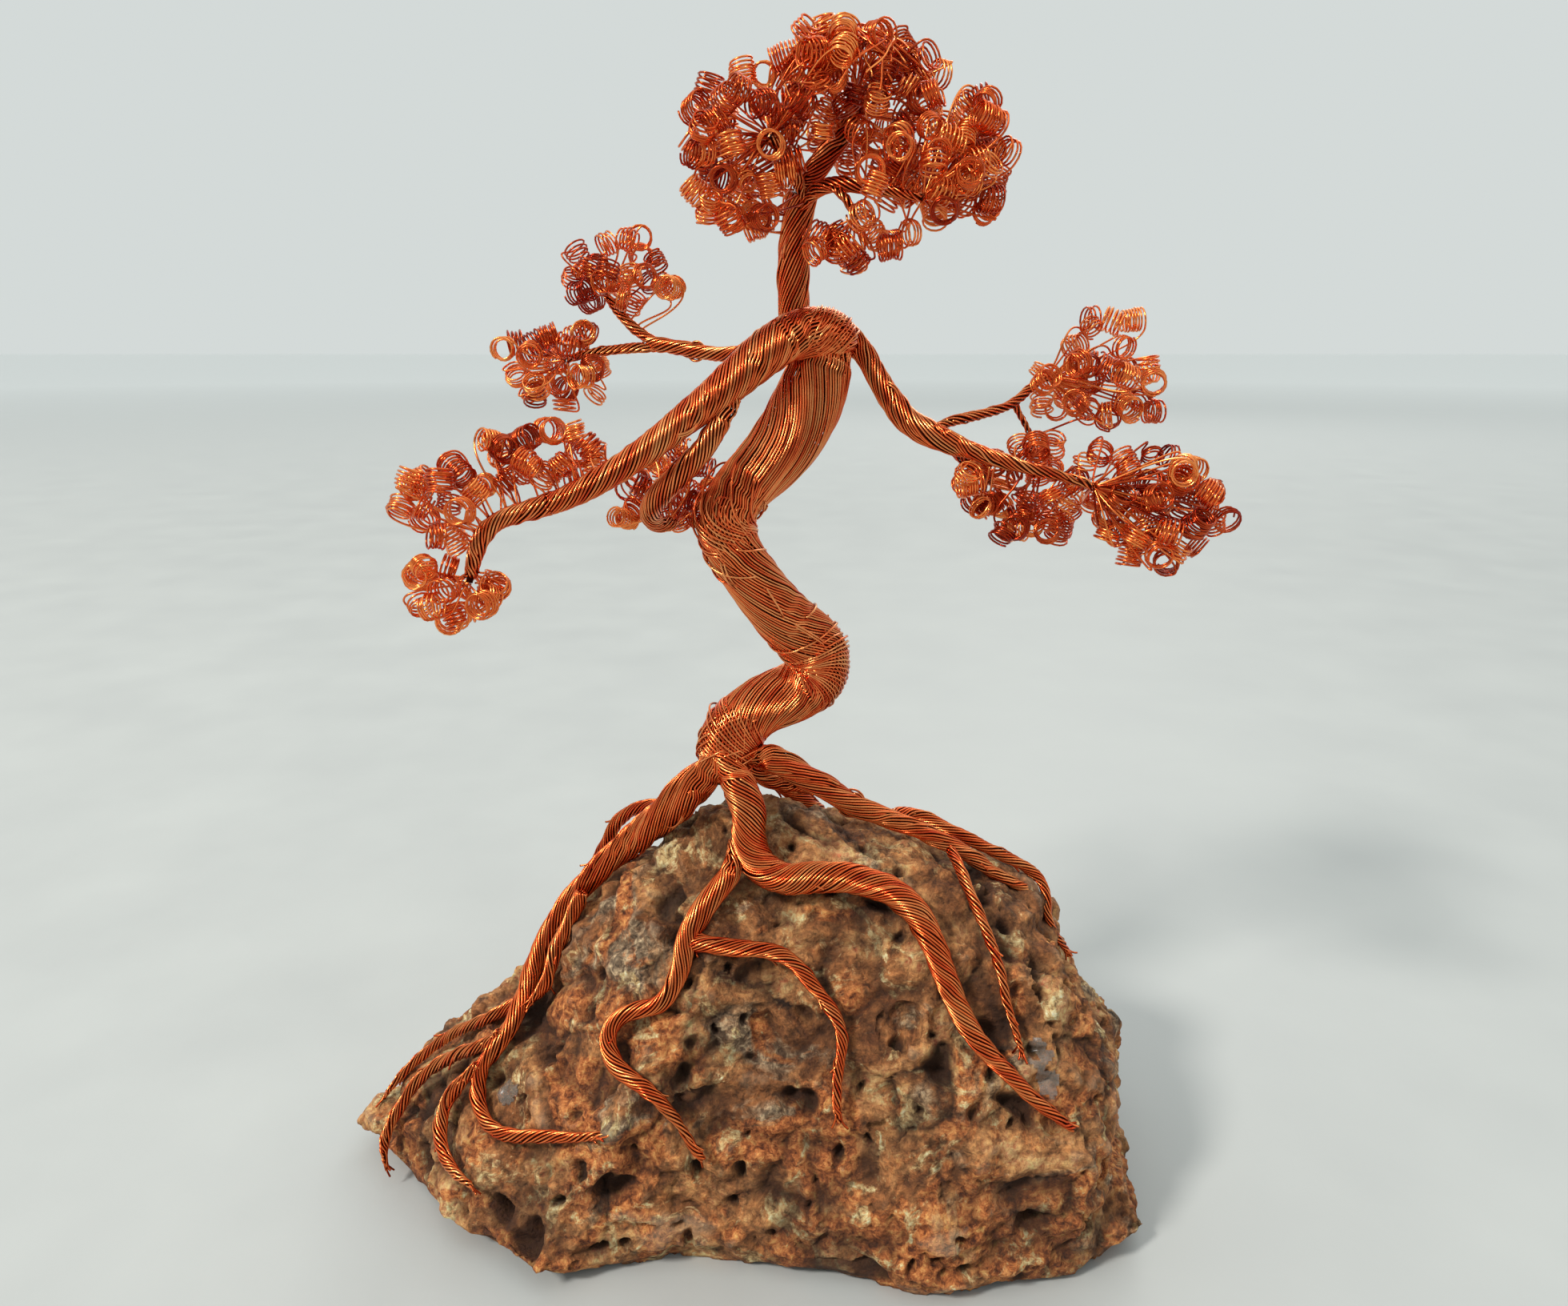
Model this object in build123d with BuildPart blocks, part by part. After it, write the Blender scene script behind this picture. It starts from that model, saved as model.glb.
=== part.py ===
from build123d import *
from math import cos, dist, hypot, pi, radians, sin, sqrt
from random import Random
import os

os.makedirs("parts", exist_ok=True)

# A small bonsai tree of wound copper wire whose roots grip a porous rock. Millimetres, +Z up.
# The origin is under the middle of the tree, on the plane that the rock stands on.

WIRE = 0.5  # diameter of the craft wire
CORE_RADIUS = 3.4  # straight armature wires inside the trunk
COIL_RADIUS = 2.7  # outside radius of one wound leaf coil
COIL_LENGTHS = (1.8, 2.6, 3.6)  # short, middle and long coils
WALL_RADIUS = COIL_RADIUS - WIRE / 2  # middle of a coil's wall
LEAF_GAP = 0.35  # clear space kept between the walls of two coils
TIE_GAP = 0.25  # clear space under a tie wire
STATION_SPACING = 4  # distance between the lofted sections of a bundle

# ---------------------------------------------------------------- rock

FOOTPRINT = [
    (-104, -4), (-94, -20), (-76, -35), (-51, -49), (-22, -43), (6, -48), (34, -54), (67, -50),
    (80, -38), (86, -6), (82, 22), (58, 42), (14, 47), (-34, 44), (-78, 30), (-100, 12),
]
FOOT_LEFT, FOOT_FRONT = -104, -54
FOOT_WIDTH, FOOT_DEPTH = 190, 101
# level, left, right, front and back of each slice, from the foot to the crest
SLICES = [
    (0, -98, 80, -49, 44),
    (6, -103, 84, -53, 48),
    (16, -98, 81, -51, 47),
    (27, -86, 81, -48, 44),
    (38, -75, 79, -43, 40),
    (48, -64, 73, -38, 35),
    (59, -54, 67, -32, 29),
    (69, -45, 59, -25, 24),
    (77, -37, 46, -18, 18),
    (84, -29, 21, -12, 13),
    (89, -22, 9, -7, 9),
    (92.5, -15, 1, -3, 5),
]
SURFACE_WAVE = 0.05  # how far the facets wander from the plain outline
# open pores that are large enough to feel: place and radius
PORES = [
    (-8, -25, 62, 2), (-5, -28, 51.5, 2.5), (29, -15, 80, 1.6), (21, -38, 41, 2.5), (21, -41, 35, 3),
    (57, -41, 37, 2.5), (25, -33, 54, 4.5), (33, -32, 56, 2.2), (70, -38, 22, 3), (-59, -20, 42, 2.5),
    (45, -43, 39, 1.8), (-13, -33, 45, 1.6), (-44, -14, 60, 1.5), (10, 30, 58, 3), (-30, 28, 50, 2.5),
    (50, 28, 50, 3), (-60, 30, 22, 3), (30, 44, 20, 2.6),
]


def slice_outline(index):
    """The corners of one horizontal slice, the footprint shrunk to the slice's own extent."""
    level, left, right, front, back = SLICES[index]
    middle_x, middle_y = (left + right) / 2, (front + back) / 2
    corners = []
    for corner, (foot_x, foot_y) in enumerate(FOOTPRINT):
        x = left + (right - left) * (foot_x - FOOT_LEFT) / FOOT_WIDTH
        y = front + (back - front) * (foot_y - FOOT_FRONT) / FOOT_DEPTH
        wave = sin(2.3 * corner + 1.7 * index + 0.6 * sin(1.3 * index * corner))
        swell = 1 + SURFACE_WAVE * wave * min(index, 1)
        corners.append((middle_x + (x - middle_x) * swell, middle_y + (y - middle_y) * swell))
    return corners


with BuildPart() as plain_rock:
    for index, extent in enumerate(SLICES):
        with BuildSketch(Plane.XY.offset(extent[0])):
            with BuildLine():
                Polyline(*slice_outline(index), close=True)
            make_face()
    loft(ruled=True)


# ---------------------------------------------------------------- wound and twisted wire


def stations_along(route, first, last):
    """Planes and radii every few millimetres along the smooth curve through a route's stations."""
    with BuildLine() as curve:
        Spline(*[(x, y, z) for x, y, z, radius in route])
    middle = curve.edge()
    params = [middle.param_at_point(Vector(x, y, z)) for x, y, z, radius in route]
    steps = []
    for index in range(first, last):
        gap = (Vector(*route[index + 1][:3]) - Vector(*route[index][:3])).length
        pieces = max(1, round(gap / STATION_SPACING))
        steps += [(index, piece / pieces) for piece in range(pieces)]
    steps.append((last - 1, 1))
    side = Vector(0, 1, 0)
    stations = []
    for index, share in steps:
        param = params[index] + (params[index + 1] - params[index]) * share
        radius = route[index][3] + (route[index + 1][3] - route[index][3]) * share
        along = middle.tangent_at(param)
        side = (side - along * side.dot(along)).normalized()
        stations.append((Plane(middle.position_at(param), x_dir=side, z_dir=along), radius))
    return stations


def strand(route, *joined_to, first=0, last=None):
    """A round wire bundle lofted along (x, y, z, radius) stations, ending flush on what it joins.

    With first and last it is only the stretch between two stations of a longer bundle.
    """
    last = len(route) - 1 if last is None else last
    with BuildPart() as bundle:
        for plane, radius in stations_along(route, first, last):
            with BuildSketch(plane):
                Circle(radius)
        loft()
        for other in joined_to:
            add(other.part, mode=Mode.SUBTRACT)
    return bundle


def keep_largest(bundle):
    """Drops the crumb that a joint can leave on the far side of what a strand joins."""
    with BuildPart() as kept:
        add(bundle.part.solids().sort_by(SortBy.VOLUME)[-1])
    return kept


TRUNK = [
    (-13, -4, 102, 6.4), (-13, -3, 107.5, 6.9), (-9, -1, 113, 6.5), (-1.5, 2, 116.5, 6.6),
    (5, 4, 118, 7), (9, 5, 122.5, 7.2), (7.5, 4, 128, 7.1), (3, 2, 132.5, 6.7),
    (-4, -1, 141, 6), (-9.5, -4, 149.5, 5.8), (-12.5, -5, 156, 6.1), (-12, -5, 161.5, 6.3),
    (-8.5, -4, 166, 6.2), (-4, -2, 170.5, 6.1), (0.5, 1, 176.5, 6.1), (5, 3, 184, 6.3), (9, 4, 192.5, 6.2),
]
LOWER_END, MIDDLE_END = 5, 11  # stations where the winding changes direction, at the two bends

core_route = [(x, y, z, CORE_RADIUS) for x, y, z, radius in TRUNK]
trunk_core = strand(core_route)
trunk_winding_lower = strand(TRUNK, trunk_core, last=LOWER_END)
trunk_winding_middle = strand(TRUNK, trunk_core, first=LOWER_END, last=MIDDLE_END)
trunk_winding_upper = strand(TRUNK, trunk_core, first=MIDDLE_END)
TRUNK_PIECES = [trunk_core, trunk_winding_lower, trunk_winding_middle, trunk_winding_upper]

# ---------------------------------------------------------------- branches

LONG_BRANCH = [
    (10.5, 4, 191.5, 5.1), (10, 3, 195.5, 5.6), (5.5, 0, 197, 5), (1, -2, 195.5, 4.7), (-5, -5, 191.5, 4.4),
    (-12, -9, 185.5, 3.8), (-20.5, -13, 179, 3), (-28.5, -16, 173, 2.7), (-37.5, -19, 167.5, 2.5),
    (-45.5, -21, 164, 2.2), (-51.5, -22, 162.5, 1.9), (-57, -23, 160.5, 1.7), (-60, -24, 155.5, 1.6),
    (-61.5, -25, 149, 1.1),
]
LONG_BRANCH_KNUCKLE = 9  # station where the long branch thins and its tip begins
INNER_BRANCH = [
    (-11.5, -9, 184.5, 1.9), (-13.5, -12, 178, 2.2), (-17.5, -13, 172, 2.2), (-22.5, -12, 167.5, 2.4),
    (-27, -9, 162.5, 2.3), (-28, -3, 158, 2), (-23.5, 3, 156.5, 1.5),
]
LEADER = [(2.5, 9, 196, 3.3), (2, 9, 200, 3.3), (2, 9, 206, 3.2), (2, 8, 213.5, 3.2), (3, 7, 219.5, 3.1),
          (4, 6, 224, 2.9)]
SPRAY_UP = [(4, 6, 222, 2.4), (5.5, 5.5, 226.5, 2.4), (8.5, 6, 230.5, 2.3), (12, 7, 235, 2), (14.5, 8, 239.5, 1.4)]
SPRAY_LEFT = [(4, 5, 222.5, 1.6), (2.5, 2, 226.5, 1.5), (0.5, 0, 230, 1.3), (-3, -2, 233, 1)]
SPRAY_RIGHT = [(4.5, 4, 222, 1.7), (8.5, 0, 224.5, 1.5), (13, -3, 224, 1.4), (18, -5, 223, 1.2), (27, -8, 221, 0.8)]
SPRAY_DROOP = [(10, -2, 223.5, 0.9), (12, -5, 221.5, 0.9), (14, -6.5, 217.5, 0.7)]
UPPER_LEFT = [(-5, 2, 194, 1.5), (-10.5, 6.5, 192, 1.5), (-19, 12, 192.5, 1.6), (-29, 17, 194, 1.6)]
UPPER_LEFT_TWIG = [(-28, 17, 194, 1.2), (-33.5, 19, 197.5, 1.2), (-37, 20.5, 201, 1.1), (-40, 22, 205, 0.8)]
UPPER_LEFT_SIDE = [(-29, 16.5, 193.5, 1.2), (-35, 16.5, 193, 1.1), (-40.5, 15, 192.5, 1), (-48, 13, 190.5, 0.8)]
RIGHT_BRANCH = [
    (12.5, 6.5, 196, 2.3), (16, 6.5, 193.5, 2.4), (18.5, 5, 189.5, 2.3), (22, 2, 183.5, 2.4), (26, -1, 178.5, 2.7),
    (30.5, -4, 176, 2.7), (37, -7, 173.5, 1.9), (45, -10, 171, 1.5), (51.5, -12, 169.5, 1.3), (62, -14, 166.5, 0.8),
]
RIGHT_LIMB = [(32, -4, 176, 1.7), (38, -1, 171.5, 1.8), (43, 3, 167.5, 1.7), (46, 7, 165, 1.2)]
RIGHT_TWIG = [(32, -4, 177, 1.2), (39.5, 0, 179.5, 1.1), (45.5, 3, 180.5, 1), (49.5, 6, 182, 1), (53.5, 9, 185, 1),
              (57, 11, 187, 0.8)]
RIGHT_TWIG_LOW = [(49.5, 6, 181.5, 0.8), (52, 6, 177.5, 0.7), (54, 6, 174, 0.6)]

right_branch = keep_largest(strand(RIGHT_BRANCH, trunk_winding_upper))
left_long_branch = keep_largest(strand(LONG_BRANCH, *TRUNK_PIECES, right_branch, last=LONG_BRANCH_KNUCKLE))
left_long_tip = strand(LONG_BRANCH, first=LONG_BRANCH_KNUCKLE)
left_inner_branch = keep_largest(strand(INNER_BRANCH, left_long_branch))
leader_stem = keep_largest(strand(LEADER, *TRUNK_PIECES, left_long_branch, right_branch))
crown_spray_up = keep_largest(strand(SPRAY_UP, leader_stem))
crown_spray_left = keep_largest(strand(SPRAY_LEFT, leader_stem, crown_spray_up))
crown_spray_right = keep_largest(strand(SPRAY_RIGHT, leader_stem, crown_spray_up, crown_spray_left))
crown_droop_twig = keep_largest(strand(SPRAY_DROOP, crown_spray_right))
left_upper_branch = keep_largest(strand(UPPER_LEFT, left_long_branch, leader_stem))
left_upper_twig = keep_largest(strand(UPPER_LEFT_TWIG, left_upper_branch))
left_upper_side_twig = keep_largest(strand(UPPER_LEFT_SIDE, left_upper_branch, left_upper_twig))
right_lower_limb = keep_largest(strand(RIGHT_LIMB, right_branch))
right_upper_twig = keep_largest(strand(RIGHT_TWIG, right_branch, right_lower_limb))
right_small_twig = keep_largest(strand(RIGHT_TWIG_LOW, right_upper_twig))

# ---------------------------------------------------------------- roots

LEFT_ROOT = [
    (-15, -5, 104, 4.2), (-20, -5, 98, 4.3), (-25.5, -3, 92, 4.1), (-33, 0, 84, 3.7), (-40, 2, 77.5, 3.2),
    (-47, 2, 70.5, 2.8), (-52.5, 1, 64, 2.5), (-56.5, -1, 58, 2.4), (-60, -6, 50.5, 2.2), (-61.5, -11, 46, 2),
    (-63.5, -15.5, 42, 1.9), (-67, -18.5, 38, 1.7), (-69.5, -20, 34.5, 1.7), (-70, -22.5, 30, 1.6),
    (-68, -26.5, 26.5, 1.4), (-64, -30, 25.5, 1.4), (-57.5, -33, 27, 1.4), (-48, -37, 30, 1.2), (-36, -41.5, 34, 0.6),
]
LEFT_SIDE_STRAND = [
    (-48.5, -3, 68, 1.7), (-51.5, -5, 61.5, 1.7), (-54, -8, 56.5, 1.6), (-55, -10.5, 52, 1.5), (-57.5, -11.5, 48, 1.3),
    (-60.5, -12, 45.5, 1),
]
THIN_LEFT_ROOTS = [
    [(-61.5, -9.5, 46.5, 1.5), (-66, -10, 43, 1.5), (-71, -8.5, 39.5, 1.4), (-80, -3.5, 32.5, 1.4), (-90, 0, 23.5, 1.3),
     (-96, -1, 18, 1.1), (-100, -3.5, 13, 0.5)],
    [(-65, -17, 41, 1.5), (-73, -14.5, 35.5, 1.5), (-81.5, -10, 29, 1.5), (-89, -9.5, 22.5, 1.4),
     (-93, -11.5, 16.5, 1.3), (-95.5, -14, 12, 1.2), (-96, -16, 8, 1), (-94.5, -18, 4.5, 0.5)],
    [(-68, -19.5, 36, 1.6), (-73, -21, 32.5, 1.5), (-77, -21.5, 28, 1.6), (-78.5, -24.5, 22.5, 1.5),
     (-77, -29, 19.5, 1.4), (-73, -33.5, 18, 1.2), (-67, -38, 17, 0.5)],
]
CENTRE_ROOT = [
    (-12.5, -7.5, 105.5, 3.6), (-10, -10.5, 100.5, 3.9), (-7.5, -12.5, 95, 3.7), (-8, -12.5, 88.5, 3.7),
    (-6, -14, 83, 3.6), (-1, -16, 80.5, 3.5), (5, -16.5, 81, 3.4), (12, -17, 81.5, 3.4), (19, -18, 80.5, 3.2),
    (25.5, -20.5, 78.5, 3.1), (29.5, -23.5, 75, 2.9), (32, -27, 70.5, 2.7), (34, -29.5, 65.5, 2.6),
    (36, -32, 61, 2.4), (38.5, -34.5, 56.5, 2.2), (42, -37, 52, 2), (46.5, -39, 48, 1.7), (51.5, -41, 43.5, 1.5),
    (56, -42, 40, 1.2), (61, -42, 36, 0.6),
]
MIDDLE_LEFT_ROOT = [
    (-10, -13, 85.5, 2.3), (-12, -16, 81.5, 2.5), (-16, -18.5, 77, 2.6), (-19.5, -21, 73, 2.5), (-21.5, -23.5, 68.5, 2.3),
    (-22.5, -26, 63.5, 2.1), (-24.5, -28, 59.5, 1.9), (-28, -29, 56.5, 1.8), (-32.5, -28.5, 55.5, 1.7),
    (-36.5, -28.5, 53.5, 1.7), (-38.5, -30, 50, 1.7), (-37.5, -32.5, 46.5, 1.7), (-34, -35.5, 44.5, 1.7),
    (-29.5, -38, 43.5, 1.5), (-25.5, -39.5, 40.5, 1.4), (-22.5, -40, 36.5, 1), (-20, -41, 32.5, 0.9),
    (-16.5, -42, 29, 0.5),
]
FORK_ROOT = [
    (-20.5, -22.5, 69.5, 1.7), (-15, -24.5, 69, 1.9), (-8.5, -25, 68.5, 1.9), (-2.5, -25, 68, 1.7), (2, -26, 66, 1.7),
    (5.5, -28, 62.5, 1.6), (9, -30.5, 59, 1.4), (11.5, -32.5, 56, 1.4), (12.5, -34.5, 52, 1.2),
    (11.5, -37, 47.5, 1.2), (11, -39.5, 42, 1), (12, -41.5, 37, 0.5),
]
RIGHT_ROOT = [
    (-11, -4, 108, 2.9), (-6.5, -3.5, 105.5, 3.1), (-1.5, -3, 103, 3.1), (4, -2, 99.5, 2.9), (10, -1, 95.5, 2.8),
    (15.5, 0, 91.5, 2.6), (22, 0, 88.5, 2.4), (28.5, -1, 86.5, 2.2), (34.5, -2, 84, 2), (40, -3, 81.5, 1.9),
    (44.5, -3, 79, 1.7), (48.5, -3, 75.5, 1.5), (54, -3, 72.5, 1.3), (60, -3, 69.5, 0.7),
]
RIGHT_LOWER_STRAND = [(-10, -1, 103, 2.2), (-6.5, 1, 99, 2.1), (-3, 1.5, 96.5, 2), (1.5, 1, 95.5, 1.8), (6.5, 0, 95.5, 1.4)]
RIGHT_UPPER_STRAND = [
    (23.5, 3, 87, 1.5), (28, 6, 86.5, 1.5), (32.5, 6.5, 85.5, 1.5), (37, 4.5, 84, 1.5), (42, 3, 82, 1.5),
    (48, 2.5, 79, 1.5), (54, 2.5, 76, 1.4), (59.5, 2, 73, 1.3), (62.5, 0.5, 69.5, 1.1), (62, -2.5, 66.5, 1.1),
    (62.5, -4, 63, 1), (65, -4, 58.5, 0.9), (69, -2, 52, 0.6),
]
RIGHT_MIDDLE_STRAND = [
    (38.5, -4, 81.5, 1.3), (39.5, -9.5, 80.5, 1.3), (41, -15, 77.5, 1.2), (43, -20, 73.5, 1.2), (45, -24, 69, 1.1),
    (46.5, -28, 64.5, 1), (47.5, -31.5, 59, 0.9), (49, -34, 54.5, 0.8), (50.5, -37, 49, 0.5),
]
REAR_LEFT_ROOT = [
    (-24, -1, 91, 2), (-30, 4.5, 88.5, 1.8), (-36, 9, 86, 1.6), (-41, 11, 81.5, 1.6), (-44.5, 12, 74, 1.6),
    (-49, 13, 66, 1.5), (-53.5, 15, 57, 1.4), (-57, 19, 48, 1.2), (-63, 24, 38, 0.6),
]
REAR_RIGHT_ROOT = [
    (-10, 2, 103, 2.6), (-5, 7, 97.5, 2.6), (0, 11.5, 91.5, 2.5), (5, 15.5, 85.5, 2.4), (10.5, 20, 78, 2.2),
    (16, 26, 70, 2), (20, 30.5, 61, 1.8), (23.5, 35, 52, 1.5), (26.5, 40, 42.5, 1.2), (32, 43, 33, 0.6),
]

root_left_main = keep_largest(strand(LEFT_ROOT, *TRUNK_PIECES))
root_centre = keep_largest(strand(CENTRE_ROOT, *TRUNK_PIECES, root_left_main))
root_right_main = keep_largest(strand(RIGHT_ROOT, *TRUNK_PIECES, root_left_main, root_centre))
root_right_lower = keep_largest(strand(RIGHT_LOWER_STRAND, *TRUNK_PIECES, root_left_main, root_centre, root_right_main))
root_rear_right = keep_largest(strand(REAR_RIGHT_ROOT, *TRUNK_PIECES, root_left_main, root_right_main, root_right_lower))
root_rear_left = keep_largest(strand(REAR_LEFT_ROOT, root_left_main, root_rear_right))
root_left_side = keep_largest(strand(LEFT_SIDE_STRAND, root_left_main))
thin_left_roots = [keep_largest(strand(route, root_left_main, root_left_side)) for route in THIN_LEFT_ROOTS]
root_middle_left = keep_largest(strand(MIDDLE_LEFT_ROOT, root_centre))
root_fork = keep_largest(strand(FORK_ROOT, root_middle_left))
root_right_upper = keep_largest(strand(RIGHT_UPPER_STRAND, root_right_main))
root_right_middle = keep_largest(strand(RIGHT_MIDDLE_STRAND, root_right_main, root_right_upper))

ROOTS = {
    "root_left_main": root_left_main,
    "root_left_side_strand": root_left_side,
    "root_left_thin_outer": thin_left_roots[0],
    "root_left_thin_middle": thin_left_roots[1],
    "root_left_thin_inner": thin_left_roots[2],
    "root_centre": root_centre,
    "root_middle_left": root_middle_left,
    "root_middle_left_fork": root_fork,
    "root_right_main": root_right_main,
    "root_right_lower_strand": root_right_lower,
    "root_right_upper_strand": root_right_upper,
    "root_right_middle_strand": root_right_middle,
    "root_rear_left": root_rear_left,
    "root_rear_right": root_rear_right,
}
BRANCHES = {
    "left_long_branch": left_long_branch,
    "left_long_branch_tip": left_long_tip,
    "left_inner_branch": left_inner_branch,
    "leader_stem": leader_stem,
    "crown_spray_up": crown_spray_up,
    "crown_spray_left": crown_spray_left,
    "crown_spray_right": crown_spray_right,
    "crown_droop_twig": crown_droop_twig,
    "left_upper_branch": left_upper_branch,
    "left_upper_twig": left_upper_twig,
    "left_upper_side_twig": left_upper_side_twig,
    "right_branch": right_branch,
    "right_lower_limb": right_lower_limb,
    "right_upper_twig": right_upper_twig,
    "right_small_twig": right_small_twig,
}
TRUNK_NODES = {
    "trunk_core": trunk_core,
    "trunk_winding_lower": trunk_winding_lower,
    "trunk_winding_middle": trunk_winding_middle,
    "trunk_winding_upper": trunk_winding_upper,
}

# The rock takes each root in a shallow groove, and its pores are open.
with BuildPart() as rock:
    add(plain_rock.part)
    for x, y, z, radius in PORES:
        with Locations((x, y, z)):
            Sphere(radius, mode=Mode.SUBTRACT)
    for root in ROOTS.values():
        add(root.part, mode=Mode.SUBTRACT)

# ---------------------------------------------------------------- tie wires


def tie_rings(places):
    """Single wires closed round a bundle: each place is its route, station and lean in degrees."""
    with BuildPart() as ties:
        for route, station, lean in places:
            plane, radius = stations_along(route[station:station + 2], 0, 1)[0]
            ring = (radius + TIE_GAP + WIRE / 2) / cos(radians(lean))
            with Locations(plane.rotated((lean, 0, 0))):
                Torus(ring, WIRE / 2)
    return ties


trunk_ties = tie_rings([(TRUNK, 3, 8), (TRUNK, 7, 22), (TRUNK, 8, -25), (TRUNK, 9, 10)])
branch_ties = tie_rings([(UPPER_LEFT, 2, 15), (RIGHT_BRANCH, 3, 20), (LEADER, 3, 15), (LONG_BRANCH, 6, -15)])
root_ties = tie_rings([(LEFT_ROOT, 2, 15), (RIGHT_ROOT, 5, -15)])

# ---------------------------------------------------------------- leaves: small wound coils

TRIES = 1000  # places tried in each spray before it counts as full
RING_SPOTS = 14  # spots round a coil at which its wall is tested
# for each spray: its middle, its reach along x, y and z, and the coils that stand out at its
# edge, each as a place and the direction of the coil's axis
LEAF_SPRAYS = {
    "foliage_crown_top": ((14, 4, 241), (18, 17, 12), [((-2.5, -11, 230), (0.1, 1, 0.1))]),
    "foliage_crown_left": (
        (-9, 1, 230), (12, 14, 13.5),
        [((-10, -8, 217.5), (0.5, 1, 0)), ((-3.8, -8, 217.5), (-0.6, 1, 0)), ((-11.5, -11, 224), (0.2, 1, 0.2)),
         ((-14.5, -2, 242), (0.3, 0, 1)), ((-8, 0, 244.5), (-0.2, 0.1, 1))],
    ),
    "foliage_crown_right": (
        (31, -1, 229), (13.5, 15, 11.5),
        [((16, -14, 225), (0, 1, 0.1)), ((21.5, -15, 229), (0.5, 1, 0)), ((37.5, -4, 229.5), (1, 0.2, 0)),
         ((40, -6, 221), (1, 0.3, -0.1)), ((30.5, -12, 218.5), (0.2, 1, 0.3))],
    ),
    "foliage_crown_droop": ((15, -6, 214), (10, 7.5, 5), [((20.5, -9, 212), (1, 0.2, 0.1))]),
    "foliage_upper_left_top": (
        (-36, 22, 208.5), (12, 9, 9), [((-25.5, 18, 206), (0.3, 1, 0)), ((-38, 15, 209.5), (0.3, 0.3, 1))],
    ),
    "foliage_upper_left_side": (
        (-50, 14, 190), (13, 9, 9.5), [((-60, 8, 193), (0.1, 1, 0)), ((-53.8, 6, 191.8), (0, 1, 0.1))],
    ),
    "foliage_long_branch_rise": ((-46, -15, 172), (12.5, 9, 8.5), []),
    "foliage_long_branch_tip": ((-66, -24, 164), (8, 8, 8.5), [((-71, -26, 169.5), (0.4, 0.2, 1))]),
    "foliage_long_branch_hanging": (
        (-65, -25, 146.5), (8.5, 8, 7.5),
        [((-70.5, -28, 151.5), (0, 1, 0.2)), ((-58, -30, 146), (0.3, 1, 0)), ((-65.5, -26, 142), (-0.2, 1, 0))],
    ),
    "foliage_inner": ((-25, 6, 164), (12.5, 9, 9.5), []),
    "foliage_right_top": ((71, 11, 199), (8, 4, 3), [((66, 12, 199.5), (1, 0.2, 0)), ((75, 12, 199), (1, 0, 0.1))]),
    "foliage_right_upper": (
        (68, 10, 186), (15, 10, 9.5), [((79, 6, 186), (0.3, 1, 0.2)), ((80, 8, 180), (1, 0.2, 0))],
    ),
    "foliage_right_middle": (
        (54, -6, 165), (17, 10, 10), [((38, -10, 166.5), (1, 0.1, 0.1)), ((47.5, -12, 158), (0.4, 1, 0))],
    ),
    "foliage_right_low": (
        (76, -14, 162), (13.5, 10, 11.5),
        [((77.5, -20, 170), (0.2, 1, 0)), ((85, -16, 165.5), (0.3, 1, 0)), ((81, -20, 159.5), (0, 1, 0.1)),
         ((70, -16, 153), (0.2, 0.1, 1))],
    ),
}
def leaf_reach(length):
    """Radius of the ball that holds a coil of this length however it lies."""
    return sqrt(COIL_RADIUS ** 2 + (length / 2) ** 2)


def wall_spots(plane, length):
    """Spots spread over the wall of a coil whose middle is the plane's origin."""
    spots = []
    for turn in range(RING_SPOTS):
        angle = 2 * pi * turn / RING_SPOTS
        out = plane.x_dir * (WALL_RADIUS * cos(angle)) + plane.y_dir * (WALL_RADIUS * sin(angle))
        spots += [plane.origin + out + plane.z_dir * height for height in (-length / 2, 0, length / 2)]
    return spots


def wall_distance(spot, plane, length):
    """How far a spot is from the middle of a coil's wall."""
    offset = spot - plane.origin
    height = offset.dot(plane.z_dir)
    radius = (offset - plane.z_dir * height).length
    return hypot(radius - WALL_RADIUS, max(abs(height) - length / 2, 0))


def is_clear(plane, length, taken, wood):
    """True when a coil here meets no other coil and no twig."""
    place = plane.origin
    for start, along, stretch, radius in wood:
        nearest = start + along * min(max((place - start).dot(along), 0), stretch)
        if (place - nearest).length < leaf_reach(length) + radius:
            return False
    for other, other_length in taken:
        if (place - other.origin).length < leaf_reach(length) + leaf_reach(other_length) + LEAF_GAP:
            spots = [(spot, other, other_length) for spot in wall_spots(plane, length)]
            spots += [(spot, plane, length) for spot in wall_spots(other, other_length)]
            if min(wall_distance(*spot) for spot in spots) < WIRE + LEAF_GAP:
                return False
    return True


def wood_stretches():
    """Each stretch between two stations of every branch: start, direction, length and radius."""
    stretches = []
    routes = [
        TRUNK, LONG_BRANCH, INNER_BRANCH, LEADER, SPRAY_UP, SPRAY_LEFT, SPRAY_RIGHT, SPRAY_DROOP, UPPER_LEFT,
        UPPER_LEFT_TWIG, UPPER_LEFT_SIDE, RIGHT_BRANCH, RIGHT_LIMB, RIGHT_TWIG, RIGHT_TWIG_LOW,
    ]
    for route in routes:
        for start, end in zip(route, route[1:]):
            span = Vector(*end[:3]) - Vector(*start[:3])
            stretches.append((Vector(*start[:3]), span.normalized(), span.length, max(start[3], end[3])))
    return stretches


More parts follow.
